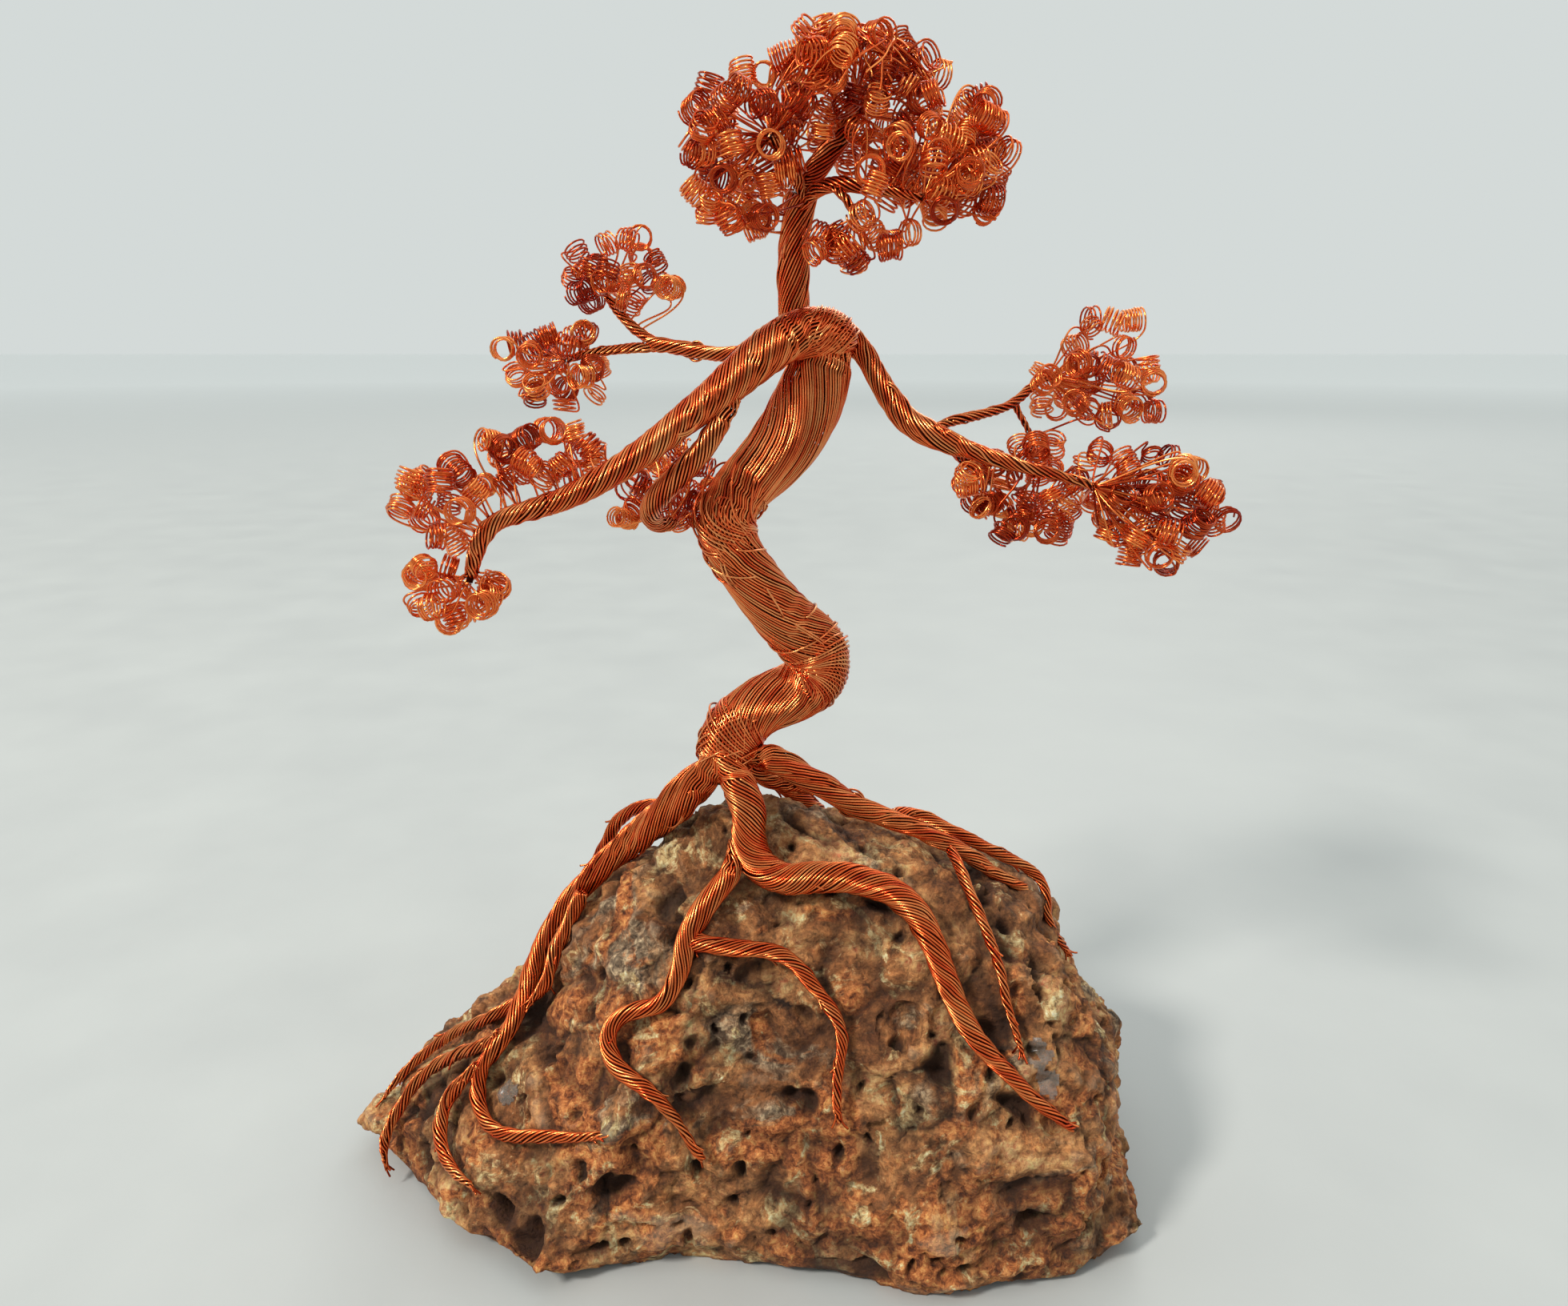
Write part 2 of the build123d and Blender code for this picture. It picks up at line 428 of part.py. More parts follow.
def grow_spray(spray, seed, taken, wood):
    """Coils of one spray by length: the standing-out ones first, then scattered ones."""
    middle, reach, standing_out = spray
    chance = Random(seed)
    coils = {length: [] for length in COIL_LENGTHS}
    crowded = [place for place, axis in standing_out]
    for place, axis in standing_out:
        plane = Plane(Vector(*place), z_dir=Vector(*axis))
        taken.append((plane, COIL_LENGTHS[1]))
        coils[COIL_LENGTHS[1]].append(plane)
    around = max(reach) + 2 * leaf_reach(COIL_LENGTHS[2])
    near_wood = [stretch for stretch in wood if dist(tuple(stretch[0]), middle) < around + stretch[2]]
    near_coils = [(other, length) for other, length in taken if dist(tuple(other.origin), middle) < around]
    for attempt in range(TRIES):
        share = [chance.uniform(-1, 1) for axis in range(3)]
        facing = [chance.gauss(0, 1) for axis in range(3)]
        length = chance.choice(COIL_LENGTHS)
        place = [centre + half * part for centre, half, part in zip(middle, reach, share)]
        if hypot(*share) > 1 or any(dist(spot, place) < COIL_RADIUS for spot in crowded):
            continue
        plane = Plane(Vector(*place), z_dir=Vector(*facing))
        if is_clear(plane, length, near_coils, near_wood):
            near_coils.append((plane, length))
            crowded.append(place)
            taken.append((plane, length))
            coils[length].append(plane)
    return coils


def wind_coils(coils):
    """A short open tube for every coil of a spray."""
    with BuildPart() as spray:
        for length, planes in coils.items():
            if planes:
                with BuildSketch(*[plane.offset(-length / 2) for plane in planes]):
                    Circle(COIL_RADIUS)
                    Circle(COIL_RADIUS - WIRE, mode=Mode.SUBTRACT)
                extrude(amount=length)
    return spray


wood = wood_stretches()
taken = []
FOLIAGE = {}
for seed, (name, spray) in enumerate(LEAF_SPRAYS.items()):
    FOLIAGE[name] = wind_coils(grow_spray(spray, seed, taken, wood))

# ---------------------------------------------------------------- glue

# clear dabs beside the ends of the roots: place just under the rock's face, and radius
GLUE_DABS = [(54, -35.5, 50, 2.4), (55.5, -38, 44.5, 2.2), (-62.5, -23.5, 30, 3.2), (-30.5, -36.5, 39, 2.4)]

with BuildPart() as glue_dabs:
    for x, y, z, radius in GLUE_DABS:
        with Locations((x, y, z)):
            Sphere(radius)
    add(plain_rock.part, mode=Mode.SUBTRACT)

TIES = {"trunk_ties": trunk_ties, "branch_ties": branch_ties, "root_ties": root_ties}
PIECES = {"rock": rock, **TRUNK_NODES, **BRANCHES, **ROOTS, **TIES, **FOLIAGE, "glue_dabs": glue_dabs}
for name, piece in PIECES.items():
    piece.part.label = name
    export_step(piece.part, f"parts/{name}.step")
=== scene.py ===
import math

import bpy
import numpy as np
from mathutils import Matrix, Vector, noise
from mathutils.kdtree import KDTree


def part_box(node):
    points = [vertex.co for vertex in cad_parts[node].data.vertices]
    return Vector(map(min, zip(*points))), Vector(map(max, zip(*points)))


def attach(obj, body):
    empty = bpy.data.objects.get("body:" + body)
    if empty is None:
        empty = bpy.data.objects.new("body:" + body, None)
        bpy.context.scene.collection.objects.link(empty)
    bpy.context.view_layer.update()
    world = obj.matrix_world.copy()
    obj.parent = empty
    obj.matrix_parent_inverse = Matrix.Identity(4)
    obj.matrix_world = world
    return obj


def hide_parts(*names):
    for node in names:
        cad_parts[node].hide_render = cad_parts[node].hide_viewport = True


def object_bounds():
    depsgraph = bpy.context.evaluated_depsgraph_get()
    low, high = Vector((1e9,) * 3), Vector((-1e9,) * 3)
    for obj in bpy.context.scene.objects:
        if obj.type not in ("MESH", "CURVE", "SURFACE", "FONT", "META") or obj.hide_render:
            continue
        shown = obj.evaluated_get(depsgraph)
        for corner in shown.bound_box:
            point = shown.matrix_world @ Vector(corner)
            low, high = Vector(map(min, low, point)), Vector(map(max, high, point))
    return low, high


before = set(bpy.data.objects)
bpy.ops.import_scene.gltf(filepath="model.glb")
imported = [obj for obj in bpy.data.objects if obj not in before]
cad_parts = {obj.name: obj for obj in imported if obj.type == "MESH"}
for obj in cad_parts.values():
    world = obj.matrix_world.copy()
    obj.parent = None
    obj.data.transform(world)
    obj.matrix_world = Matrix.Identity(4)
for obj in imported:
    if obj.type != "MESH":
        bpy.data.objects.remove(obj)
cad_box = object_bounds()

MM = 0.001
WIRE = 0.5 * MM  # craft wire of the trunk, the branches and the roots
LEAF_WIRE = 0.45 * MM  # thinner wire of the coiled leaves
MOST_RINGS = 600  # rings followed in one direction, more than any bundle has
FILL = 0.84  # share of the room round a bundle that its wires take up
DEEPEST = 0.8  # share of a bend's radius that wires inside the bend keep within
CHANCE = np.random.default_rng(7)
noise.seed_set(5)


def unit(v):
    return v / np.maximum(np.linalg.norm(v, axis=-1, keepdims=True), 1e-12)


def smoothstep(x):
    x = np.clip(x, 0, 1)
    return x * x * (3 - 2 * x)


# ---------------------------------------------------------------- reading the CAD nodes


def node_mesh(name):
    """Vertices and triangles of a CAD node."""
    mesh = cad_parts[name].data
    co = np.empty(len(mesh.vertices) * 3)
    mesh.vertices.foreach_get("co", co)
    mesh.calc_loop_triangles()
    tri = np.empty(len(mesh.loop_triangles) * 3, np.int32)
    mesh.loop_triangles.foreach_get("vertices", tri)
    return co.reshape(-1, 3), tri.reshape(-1, 3)


def slice_points(tris, point, normal, reach):
    """Middles and lengths of the segments that a plane cuts from triangles near a point."""
    side = (tris - point) @ normal
    low = side < 0
    count = low.sum(1)
    hit = (count > 0) & (count < 3)
    side, low, count, tris = side[hit], low[hit], count[hit], tris[hit]
    lone = np.where(count == 1, low.argmax(1), (~low).argmax(1))
    rows = np.arange(len(lone))
    ends = []
    for step in (1, 2):
        other = (lone + step) % 3
        share = side[rows, lone] / (side[rows, lone] - side[rows, other])
        ends.append(tris[rows, lone] + (tris[rows, other] - tris[rows, lone]) * share[:, None])
    middle, length = (ends[0] + ends[1]) / 2, np.linalg.norm(ends[0] - ends[1], axis=1)
    near = np.linalg.norm(middle - point, axis=1) < reach
    return middle[near], length[near]


def ring_at(tris, point, normal, reach):
    """Centre, radius and coverage of the loop that a plane cuts from a tube."""
    middle, length = slice_points(tris, point, normal, reach)
    if len(middle) < 6:
        return None
    centre = (middle * length[:, None]).sum(0) / length.sum()
    out = middle - centre
    radius = (np.linalg.norm(out, axis=1) * length).sum() / length.sum()
    side = unit(np.cross(normal, (0.31, 0.52, 0.79)))
    angle = np.arctan2(out @ np.cross(normal, side), out @ side)
    bins = np.unique(((angle + math.pi) / (2 * math.pi) * 12).astype(int).clip(0, 11))
    return centre, radius, len(bins) / 12


def march(tris, point, along, radius, step=0.7 * MM):
    """Rings from a place inside a tube to its end in one direction."""
    rings = []
    for _ in range(MOST_RINGS):
        got = ring_at(tris, point + along * step, along, radius * 1.9)
        if got is None or got[2] < 0.9 or not 0.5 < got[1] / radius < 1.6:
            break
        centre, radius = got[:2]
        ahead = centre - point
        if ahead @ along < 0.1 * step:
            break
        along = unit(along * 0.75 + unit(ahead) * 0.25)
        point = centre
        rings.append((centre, radius))
    return rings


def first_ring(co, tri):
    """A ring near the middle of a tube, with the direction of the tube there."""
    tris = co[tri]
    middles = tris.mean(1)
    axis = np.ptp(co, axis=0).argmax()
    level = np.median(middles[:, axis])
    normals = np.cross(tris[:, 1] - tris[:, 0], tris[:, 2] - tris[:, 0])
    area = np.linalg.norm(normals, axis=1)
    best = None
    for pick in np.argsort(np.abs(middles[:, axis] - level) - 1e3 * area)[:30:10]:
        start, inward = middles[pick], -unit(normals[pick])
        for guess in (0.8, 1.5, 2.5, 4, 5.5):
            point = start + inward * guess * MM
            side = unit(np.cross(inward, (0.3, 0.5, 0.8)))
            for turn in range(12):
                angle = math.pi * turn / 12
                along = side * math.cos(angle) + np.cross(inward, side) * math.sin(angle)
                got = ring_at(tris, point, along, guess * MM * 2.6)
                if got is None or got[2] < 0.95:
                    continue
                off_wall = abs(np.linalg.norm(start - got[0]) / got[1] - 1)
                off_centre = np.linalg.norm(got[0] - point) / got[1]
                score = got[1] * (1 + 2 * (off_wall + off_centre))
                if best is None or score < best[0]:
                    best = (score, got[0], along, got[1])
    return best[1:]


def smooth_along(values, width):
    """Gaussian smoothing of rows, with the ends held."""
    reach = int(3 * width)
    kernel = np.exp(-0.5 * (np.arange(-reach, reach + 1) / width) ** 2)
    kernel /= kernel.sum()
    head = 2 * values[:1] - values[reach:0:-1]
    tail = 2 * values[-1:] - values[-2:-reach - 2:-1]
    padded = np.vstack([head, values, tail])
    return np.stack([np.convolve(padded[:, k], kernel, "valid") for k in range(values.shape[1])], 1)


def trace(name):
    """Centreline and radii of a CAD tube, from its thick end to its thin one."""
    co, tri = node_mesh(name)
    tris = co[tri]
    centre, along, radius = first_ring(co, tri)
    back = march(tris, centre, -along, radius)
    rings = back[::-1] + [(centre, radius)] + march(tris, centre, along, radius)
    rows = np.array([[*place, r] for place, r in rings])
    width = min(3, (len(rows) - 2) / 4)
    rows = smooth_along(rows, width)
    if rows[:5, 3].mean() < rows[-5:, 3].mean():
        rows = rows[::-1]
    return rows


def resample(rows, spacing):
    """Rows of x, y, z and radius at an even spacing along their line."""
    gaps = np.linalg.norm(np.diff(rows[:, :3], axis=0), axis=1)
    s = np.concatenate([[0], np.cumsum(gaps)])
    count = max(int(round(s[-1] / spacing)), 4)
    even = np.linspace(0, s[-1], count + 1)
    return np.stack([np.interp(even, s, rows[:, k]) for k in range(rows.shape[1])], 1)


def extended(rows, before, after, shrink_before=1.0, shrink_after=1.0):
    """The line carried on straight at its ends, its radius changing to a share of itself."""
    step = np.linalg.norm(rows[1, :3] - rows[0, :3])

    def run(end, direction, length, shrink):
        count = int(length / step)
        share = np.arange(1, count + 1)[:, None] / max(count, 1)
        places = end[:3] + direction * share * length
        return np.hstack([places, end[3] * (1 + (shrink - 1) * share ** 1.5)])

    head = run(rows[0], unit(rows[0, :3] - rows[4, :3]), before, shrink_before)[::-1]
    tail = run(rows[-1], unit(rows[-1, :3] - rows[-5, :3]), after, shrink_after)
    return np.vstack([head, rows, tail])


def frames_along(rows):
    """Arc length, and two directions square to the line that turn with it and don't spin."""
    places = rows[:, :3]
    along = unit(np.gradient(places, axis=0))
    side = unit(np.cross(along[0], (0.1, 1, 0.2)))
    sides = [side]
    for tangent in along[1:]:
        side = side - tangent * (side @ tangent)
        side = side / math.sqrt(side @ side)
        sides.append(side)
    sides = np.array(sides)
    s = np.concatenate([[0], np.cumsum(np.linalg.norm(np.diff(places, axis=0), axis=1))])
    return s, sides, np.cross(along, sides)


# ---------------------------------------------------------------- wires


class Wires:
    """Many round wires gathered into one mesh, each with its own tone.

    Packed wires get painted shade down their flanks and inner sides, where they touch their neighbours.
    """

    def __init__(self, sides=6, packed=True):
        self.sides = sides
        self.packed = packed
        self.parts = []

    def add(self, places, outward, thickness, tone):
        """A wire through places; outward is any direction off the wire at each place."""
        if len(places) < 3:
            return
        along = unit(np.gradient(places, axis=0))
        normal = unit(outward - along * (outward * along).sum(1, keepdims=True))
        self.parts.append((places, normal, np.cross(along, normal), thickness / 2, tone))

    def build(self, name, material, replaced):
        ring = np.arange(self.sides) * 2 * math.pi / self.sides
        cos, sin = np.cos(ring)[None, :, None], np.sin(ring)[None, :, None]
        spots, quads, ends, tones, base = [], [], [], [], 0
        turn = np.arange(self.sides)
        for places, normal, binormal, radius, tone in self.parts:
            n = len(places)
            out = cos * normal[:, None] + sin * binormal[:, None]
            spots.append((places[:, None] + radius * out).reshape(-1, 3))
            start = base + np.arange(n - 1)[:, None] * self.sides
            quads.append(np.stack([
                start + turn, start + (turn + 1) % self.sides,
                start + self.sides + (turn + 1) % self.sides, start + self.sides + turn,
            ], -1).reshape(-1, 4))
            ends += [base + turn[::-1], base + (n - 1) * self.sides + turn]
            tones.append(np.full(n * self.sides, tone))
            base += n * self.sides
        spots, quads = np.vstack(spots), np.vstack(quads)
        corners = np.concatenate([quads.ravel(), np.concatenate(ends)]).astype(np.int32)
        sizes = np.concatenate([np.full(len(quads), 4), np.full(len(ends), self.sides)])
        mesh = bpy.data.meshes.new(name)
        mesh.vertices.add(len(spots))
        mesh.vertices.foreach_set("co", spots.ravel())
        mesh.loops.add(len(corners))
        mesh.loops.foreach_set("vertex_index", corners)
        mesh.polygons.add(len(sizes))
        mesh.polygons.foreach_set("loop_start", np.concatenate([[0], np.cumsum(sizes)[:-1]]).astype(np.int32))
        mesh.update(calc_edges=True)
        mesh.polygons.foreach_set("use_smooth", np.arange(len(sizes)) < len(quads))
        attribute = mesh.attributes.new("tone", "FLOAT", "POINT")
        attribute.data.foreach_set("value", np.concatenate(tones).astype(np.float32))
        # painted shade: 0 on the outer side of each wire, 1 on its flanks and inner side
        painted_flank_shade = np.clip(1 - np.cos(ring), 0, 1) * self.packed
        attribute = mesh.attributes.new("painted_flank_shade", "FLOAT", "POINT")
        attribute.data.foreach_set("value", np.tile(painted_flank_shade, len(spots) // self.sides).astype(np.float32))
        return piece(name, mesh, material, replaced)


def piece(name, mesh, material, replaced=()):
    obj = bpy.data.objects.new(name, mesh)
    bpy.context.scene.collection.objects.link(obj)
    obj.data.materials.clear()
    obj.data.materials.append(material)
    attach(obj, "root")
    if replaced:
        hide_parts(*replaced)
    return obj


def wander(count, length, amount, waves=3):
    """Smooth random curves, one row each, that wander by about amount."""
    t = np.linspace(0, 1, length)[None]
    out = np.zeros((count, length))
    for wave in range(waves):
        cycles = CHANCE.uniform(0.5, 2 + 3 * wave, (count, 1)) * max(length, 20) / 120
        out += np.sin(2 * math.pi * (cycles * t + CHANCE.uniform(0, 1, (count, 1)))) / (wave + 1)
    return out * amount


def wind(wires, rows, lay, thickness=WIRE, plies=0, ply_depth=0.0, lift=0.0, loose=0.1, span=None, share=1.0,
         phase=0.0, tone=(0.0, 1.0), edge=2 * MM, slack=None):
    """Lays wires side by side round a bundle.

    lay is the angle between wire and bundle in degrees, positive for a right-handed twist: a number,
    or one for each row. span keeps only the stretch between two arc lengths. slack lifts the wires
    by an amount for each row, most on the outside of a bend.
    """
    lay = np.radians(np.broadcast_to(lay, len(rows)).astype(float))
    pace = 0.75 * MM * np.cos(lay).min()
    fine = resample(np.hstack([rows, lay[:, None]]), pace)
    s, side, across = frames_along(fine)
    along_s = np.linspace(0, s[-1], len(rows))
    radius, lay = fine[:, 3] + lift, fine[:, 4]
    keep = np.ones(len(s), bool) if span is None else (s >= span[0]) & (s <= span[1])
    turn = np.concatenate([[0], np.cumsum(np.tan(lay[1:]) / radius[1:] * np.diff(s))]) + phase
    s, side, across, radius, lay, turn, places = (
        a[keep] for a in (s, side, across, radius, lay, turn, fine[:, :3])
    )
    middle = np.maximum(radius - thickness / 2, thickness / 4)
    room = FILL * share * 2 * math.pi * middle * np.cos(lay) / thickness
    most = int(math.ceil(room.max()))
    rank = CHANCE.permutation(most)[:, None]
    weight = smoothstep(room[None] - rank)
    begin = s[0] + CHANCE.uniform(0, edge, (most, 1))
    finish = s[-1] - CHANCE.uniform(0, edge, (most, 1))
    if span is not None:
        weight = weight * smoothstep((s - begin) / edge) * smoothstep((finish - s) / edge)
    total = np.maximum(weight.sum(0), 1)
    slot = (np.cumsum(weight, 0) - weight / 2) / total
    if share < 1:
        slot = (rank + 0.5 + CHANCE.uniform(-0.3, 0.3, (most, 1))) / most + 0 * weight
    n = len(s)
    angle = 2 * math.pi * slot + turn + wander(most, n, 0.09) * thickness / radius
    depth = radius - thickness / 2 - (1 - weight) * thickness * 1.2
    depth = depth + np.abs(wander(most, n, loose * thickness)) * (CHANCE.random((most, 1)) ** 2 * 2)
    if plies:
        ply_depth = np.interp(s, along_s, np.broadcast_to(ply_depth, len(along_s)))
        depth = depth + ply_depth * radius * (np.abs(np.cos(plies * (angle - turn) / 2)) - 0.75)
    out = np.cos(angle)[..., None] * side + np.sin(angle)[..., None] * across
    tangent = unit(np.gradient(places, axis=0))
    bend = np.gradient(tangent, axis=0) / np.gradient(s)[:, None]
    inward = (out * bend).sum(-1)
    depth = np.where(inward > 0, np.minimum(depth, DEEPEST / np.maximum(inward, 1e-3)), depth)
    if slack is not None:
        outside = np.clip(-inward / np.maximum(np.linalg.norm(bend, axis=1), 1e-6), 0, 1) ** 2
        lifts = CHANCE.random((most, 1)) ** 3
        depth = depth + slack * outside * (lifts + 0.5 * np.abs(wander(most, n, 1.0, 3)) * lifts)
    spots = places + depth[..., None] * out
    tones = CHANCE.uniform(*tone, most)
    for i in range(most):
        shown = np.flatnonzero(weight[i] > 0.05)
        if not len(shown):
            continue
        for run in np.split(shown, np.flatnonzero(np.diff(shown) > 1) + 1):
            if len(run) > 4:
                wires.add(spots[i, run], out[i, run], thickness, tones[i])


def fray(wires, rows, places, count, reach, thickness=WIRE):
    """Loose ends that leave a bundle at shares of its length and curl away from it."""
    _, side, across = frames_along(rows)
    along = unit(np.gradient(rows[:, :3], axis=0))
    for share in places:
        for _ in range(count):
            at = int(np.clip(share + CHANCE.normal(0, 0.02), 0, 1) * (len(rows) - 1))
            angle = CHANCE.uniform(0, 2 * math.pi)
            out = math.cos(angle) * side[at] + math.sin(angle) * across[at]
            swing = math.cos(angle + 1.6) * side[at] + math.sin(angle + 1.6) * across[at]
            length = CHANCE.uniform(0.5, 1) * reach
            t = np.linspace(0, 1, 12)[:, None]
            rise = CHANCE.uniform(0.15, 0.5) * length
            line = (rows[at, :3] + out * (rows[at, 3] - thickness * 0.6) + along[at] * t * length
                    + out * rise * t ** 2 + swing * CHANCE.normal(0, 0.35) * length * t ** 1.5)
            wires.add(line, np.repeat(out[None] + 0.3 * swing, len(t), 0), thickness, CHANCE.random())


def tube(rows, inset, sides=20):
    """Vertices and quads of a closed tube along rows, set in by an amount."""
    fine = resample(rows, 1.2 * MM)
    _, side, across = frames_along(fine)
    size = np.maximum(fine[:, 3] - inset, 0.05 * MM)
    ring = np.arange(sides) * 2 * math.pi / sides
    out = np.cos(ring)[None, :, None] * side[:, None] + np.sin(ring)[None, :, None] * across[:, None]
    spots = (fine[:, None, :3] + size[:, None, None] * out).reshape(-1, 3)
    turn = np.arange(sides)
    faces = []
    for k in range(len(fine) - 1):
        for t in turn:
            u = (t + 1) % sides
            faces.append((k * sides + t, k * sides + u, (k + 1) * sides + u, (k + 1) * sides + t))
    faces.append(tuple(turn[::-1]))
    faces.append(tuple((len(fine) - 1) * sides + turn))
    return spots, faces


# ---------------------------------------------------------------- materials


class Nodes:
    """A small helper for building shader node trees."""

    def __init__(self, name):
        self.material = bpy.data.materials.new(name)
        self.material.use_nodes = True
        self.tree = self.material.node_tree
        self.tree.nodes.clear()
        self.shader = self.new("ShaderNodeBsdfPrincipled")
        output = self.new("ShaderNodeOutputMaterial")
        self.link(self.shader.outputs[0], output.inputs["Surface"])
        self.place = self.new("ShaderNodeTexCoord").outputs["Object"]

    def new(self, kind, **values):
        node = self.tree.nodes.new(kind)
        for key, value in values.items():
            setattr(node, key, value)
        return node

    def link(self, a, b):
        self.tree.links.new(a, b)

    def scaled(self, factor):
        node = self.new("ShaderNodeMapping")
        node.inputs["Scale"].default_value = [factor] * 3
        self.link(self.place, node.inputs["Vector"])
        return node.outputs[0]

    def noise(self, size, detail=3.0, rough=0.5, warp=0.0):
        """Noise whose features are about size millimetres."""
        node = self.new("ShaderNodeTexNoise")
        self.link(self.scaled(1000 / size), node.inputs["Vector"])
        node.inputs["Scale"].default_value = 1
        node.inputs["Detail"].default_value = detail
        node.inputs["Roughness"].default_value = rough
        node.inputs["Distortion"].default_value = warp
        return node.outputs["Fac"]

    def cells(self, size):
        node = self.new("ShaderNodeTexVoronoi")
        self.link(self.scaled(1000 / size), node.inputs["Vector"])
        node.inputs["Scale"].default_value = 1
        return node.outputs["Distance"]

    def attribute(self, name):
        return self.new("ShaderNodeAttribute", attribute_name=name).outputs["Fac"]

    def ramp(self, source, *stops):
        node = self.new("ShaderNodeValToRGB")
        self.link(source, node.inputs["Fac"])
        elements = node.color_ramp.elements
        while len(elements) < len(stops):
            elements.new(0.5)
        for element, (position, color) in zip(elements, stops):
            element.position = position
            element.color = (*color, 1) if len(color) == 3 else color
        return node.outputs["Color"]

    def grey(self, source, low, high, dark=0.0, light=1.0):
        node = self.new("ShaderNodeMapRange")
        self.link(source, node.inputs["Value"])
        for key, value in zip(("From Min", "From Max", "To Min", "To Max"), (low, high, dark, light)):
            node.inputs[key].default_value = value
        return node.outputs["Result"]

    def math(self, operation, a, b):
        node = self.new("ShaderNodeMath", operation=operation)
        for socket, value in zip(node.inputs, (a, b)):
            if isinstance(value, (int, float)):
                socket.default_value = value
            else:
                self.link(value, socket)
        return node.outputs[0]

    def mix(self, factor, a, b, blend="MIX"):
        node = self.new("ShaderNodeMix", data_type="RGBA", blend_type=blend)
        for index, value in zip((0, 6, 7), (factor, a, b)):
            if isinstance(value, (int, float)):
                node.inputs[index].default_value = value
            elif isinstance(value, tuple):
                node.inputs[index].default_value = (*value, 1)
            else:
                self.link(value, node.inputs[index])
        return node.outputs[2]

    def bump(self, height, strength, distance):
        node = self.new("ShaderNodeBump")
        node.inputs["Strength"].default_value = strength
        node.inputs["Distance"].default_value = distance
        self.link(height, node.inputs["Height"])
        self.link(node.outputs[0], self.shader.inputs["Normal"])

    def set(self, **values):
        for key, value in values.items():
            socket = self.shader.inputs[key.replace("_", " ")]
            if isinstance(value, (int, float)):
                socket.default_value = value
            else:
                self.link(value, socket)
        return self.material


def copper(name, dark, middle, bright, rough, spread=0.75):
    """Drawn copper wire: a warm metal, each wire its own tone, with tarnish in soft patches."""
    n = Nodes(name)
    patches = n.noise(9, 4, 0.6, 0.4)
    fine = n.noise(0.9, 2, 0.5)
    tone = n.math("MULTIPLY", n.math("SUBTRACT", patches, 0.5), 0.9)
    own_tone = n.math("MULTIPLY", n.attribute("tone"), spread)
    clouded = n.math("ADD", tone, 0.5 - spread / 2)
    tone = n.math("ADD", own_tone, clouded)
    tone = n.math("ADD", tone, n.math("MULTIPLY", n.math("SUBTRACT", fine, 0.5), 0.2))
    color = n.ramp(tone, (0.1, dark), (0.45, middle), (0.8, bright))
    # painted shade: the flanks and inner sides of packed wires darkened towards near-black
    color = n.mix(n.math("MULTIPLY", n.attribute("painted_flank_shade"), 0.85), color, (0.2, 0.012, 0.003))
    n.bump(n.noise(0.35, 2, 0.6), 0.12, 0.00004)
    return n.set(Base_Color=color, Metallic=1.0, Roughness=n.grey(patches, 0.3, 0.7, *rough))


COPPER = copper(
    "copper_trunk_wire", (0.66, 0.06, 0.02), (1.0, 0.22, 0.06), (1.0, 0.4, 0.14), (0.17, 0.27), 0.5,
)
ROOT_COPPER = copper(
    "copper_root_wire", (0.7, 0.06, 0.02), (1.0, 0.2, 0.05), (1.0, 0.37, 0.12), (0.18, 0.3), 0.5,
)
LEAF_COPPER = copper(
    "copper_leaf_wire", (0.34, 0.025, 0.008), (0.8, 0.135, 0.03), (1.0, 0.31, 0.08), (0.16, 0.28),
)
# painted shade: near-black copper for the tubes under the wires and for the trunk core
INSIDE_PAINTED_SHADE = copper(
    "copper_inside_painted_shade", (0.05, 0.008, 0.004), (0.1, 0.016, 0.007), (0.16, 0.03, 0.012), (0.5, 0.7),
)


# ---------------------------------------------------------------- bundles


def is_bundle(name):
    """Whether a CAD node is one wire bundle, with a line down its middle."""
    other_kinds = ("foliage_", "trunk_winding", "glue")
    return not name.startswith(other_kinds) and not name.endswith("_ties") and name != "rock"


LINES = {name: trace(name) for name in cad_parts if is_bundle(name)}

# the trunk's outer radius, from the sleeves round its core
sleeves = []
for node_name in ("trunk_winding_lower", "trunk_winding_middle", "trunk_winding_upper"):
    co, tri = node_mesh(node_name)
    sleeves.append(co[tri])
sleeves = np.vstack(sleeves)
core = LINES["trunk_core"]
if core[0, 2] > core[-1, 2]:
    core = core[::-1]
along = unit(np.gradient(core[:, :3], axis=0))
outer = []
for place, direction in zip(core, along):
    middle, length = slice_points(sleeves, place[:3], direction, 9.5 * MM)
    distance = np.linalg.norm(middle - place[:3], axis=1)
    wall = distance > place[3] + 1.2 * MM
    outer.append(np.average(distance[wall], weights=length[wall]) if wall.sum() > 6 else np.nan)
outer = np.array(outer)
known = ~np.isnan(outer)
outer = np.interp(np.arange(len(outer)), np.flatnonzero(known), outer[known])
trunk = smooth_along(np.column_stack([core[:, :3], outer]), 3)

long_branch = LINES["left_long_branch"]
tip = LINES["left_long_branch_tip"]

# one continuous bundle: the trunk, the long branch and its tip
gap = np.linalg.norm(long_branch[:, :3] - trunk[-1, :3], axis=1)
first = int(np.argmax(gap > 3.5 * MM))
mast = np.vstack([trunk, long_branch[first:], tip])
mast = smooth_along(resample(mast, 0.7 * MM), 2.5)
mast = extended(mast, 5 * MM, 0, 0.45)
mast_s = frames_along(mast)[0]


def s_near(point):
    return mast_s[np.linalg.norm(mast[:, :3] - point, axis=1).argmin()]


s_trunk_top = s_near(trunk[-1, :3])
s_long_end = s_near(tip[0, :3])
lower_part = mast[:, 2] < 0.14
middle_part = (mast[:, 2] > 0.14) & (mast[:, 2] < 0.175) & (mast_s < s_trunk_top)
s_lower_bend = mast_s[lower_part][mast[lower_part, 0].argmax()]
s_left_bend = mast_s[middle_part][mast[middle_part, 0].argmin()]
top_part = (mast[:, 0] > -0.03) & (mast[:, 2] < 0.2) & (mast_s < s_long_end)
s_top_bend = mast_s[top_part][mast[top_part, 2].argmax()]
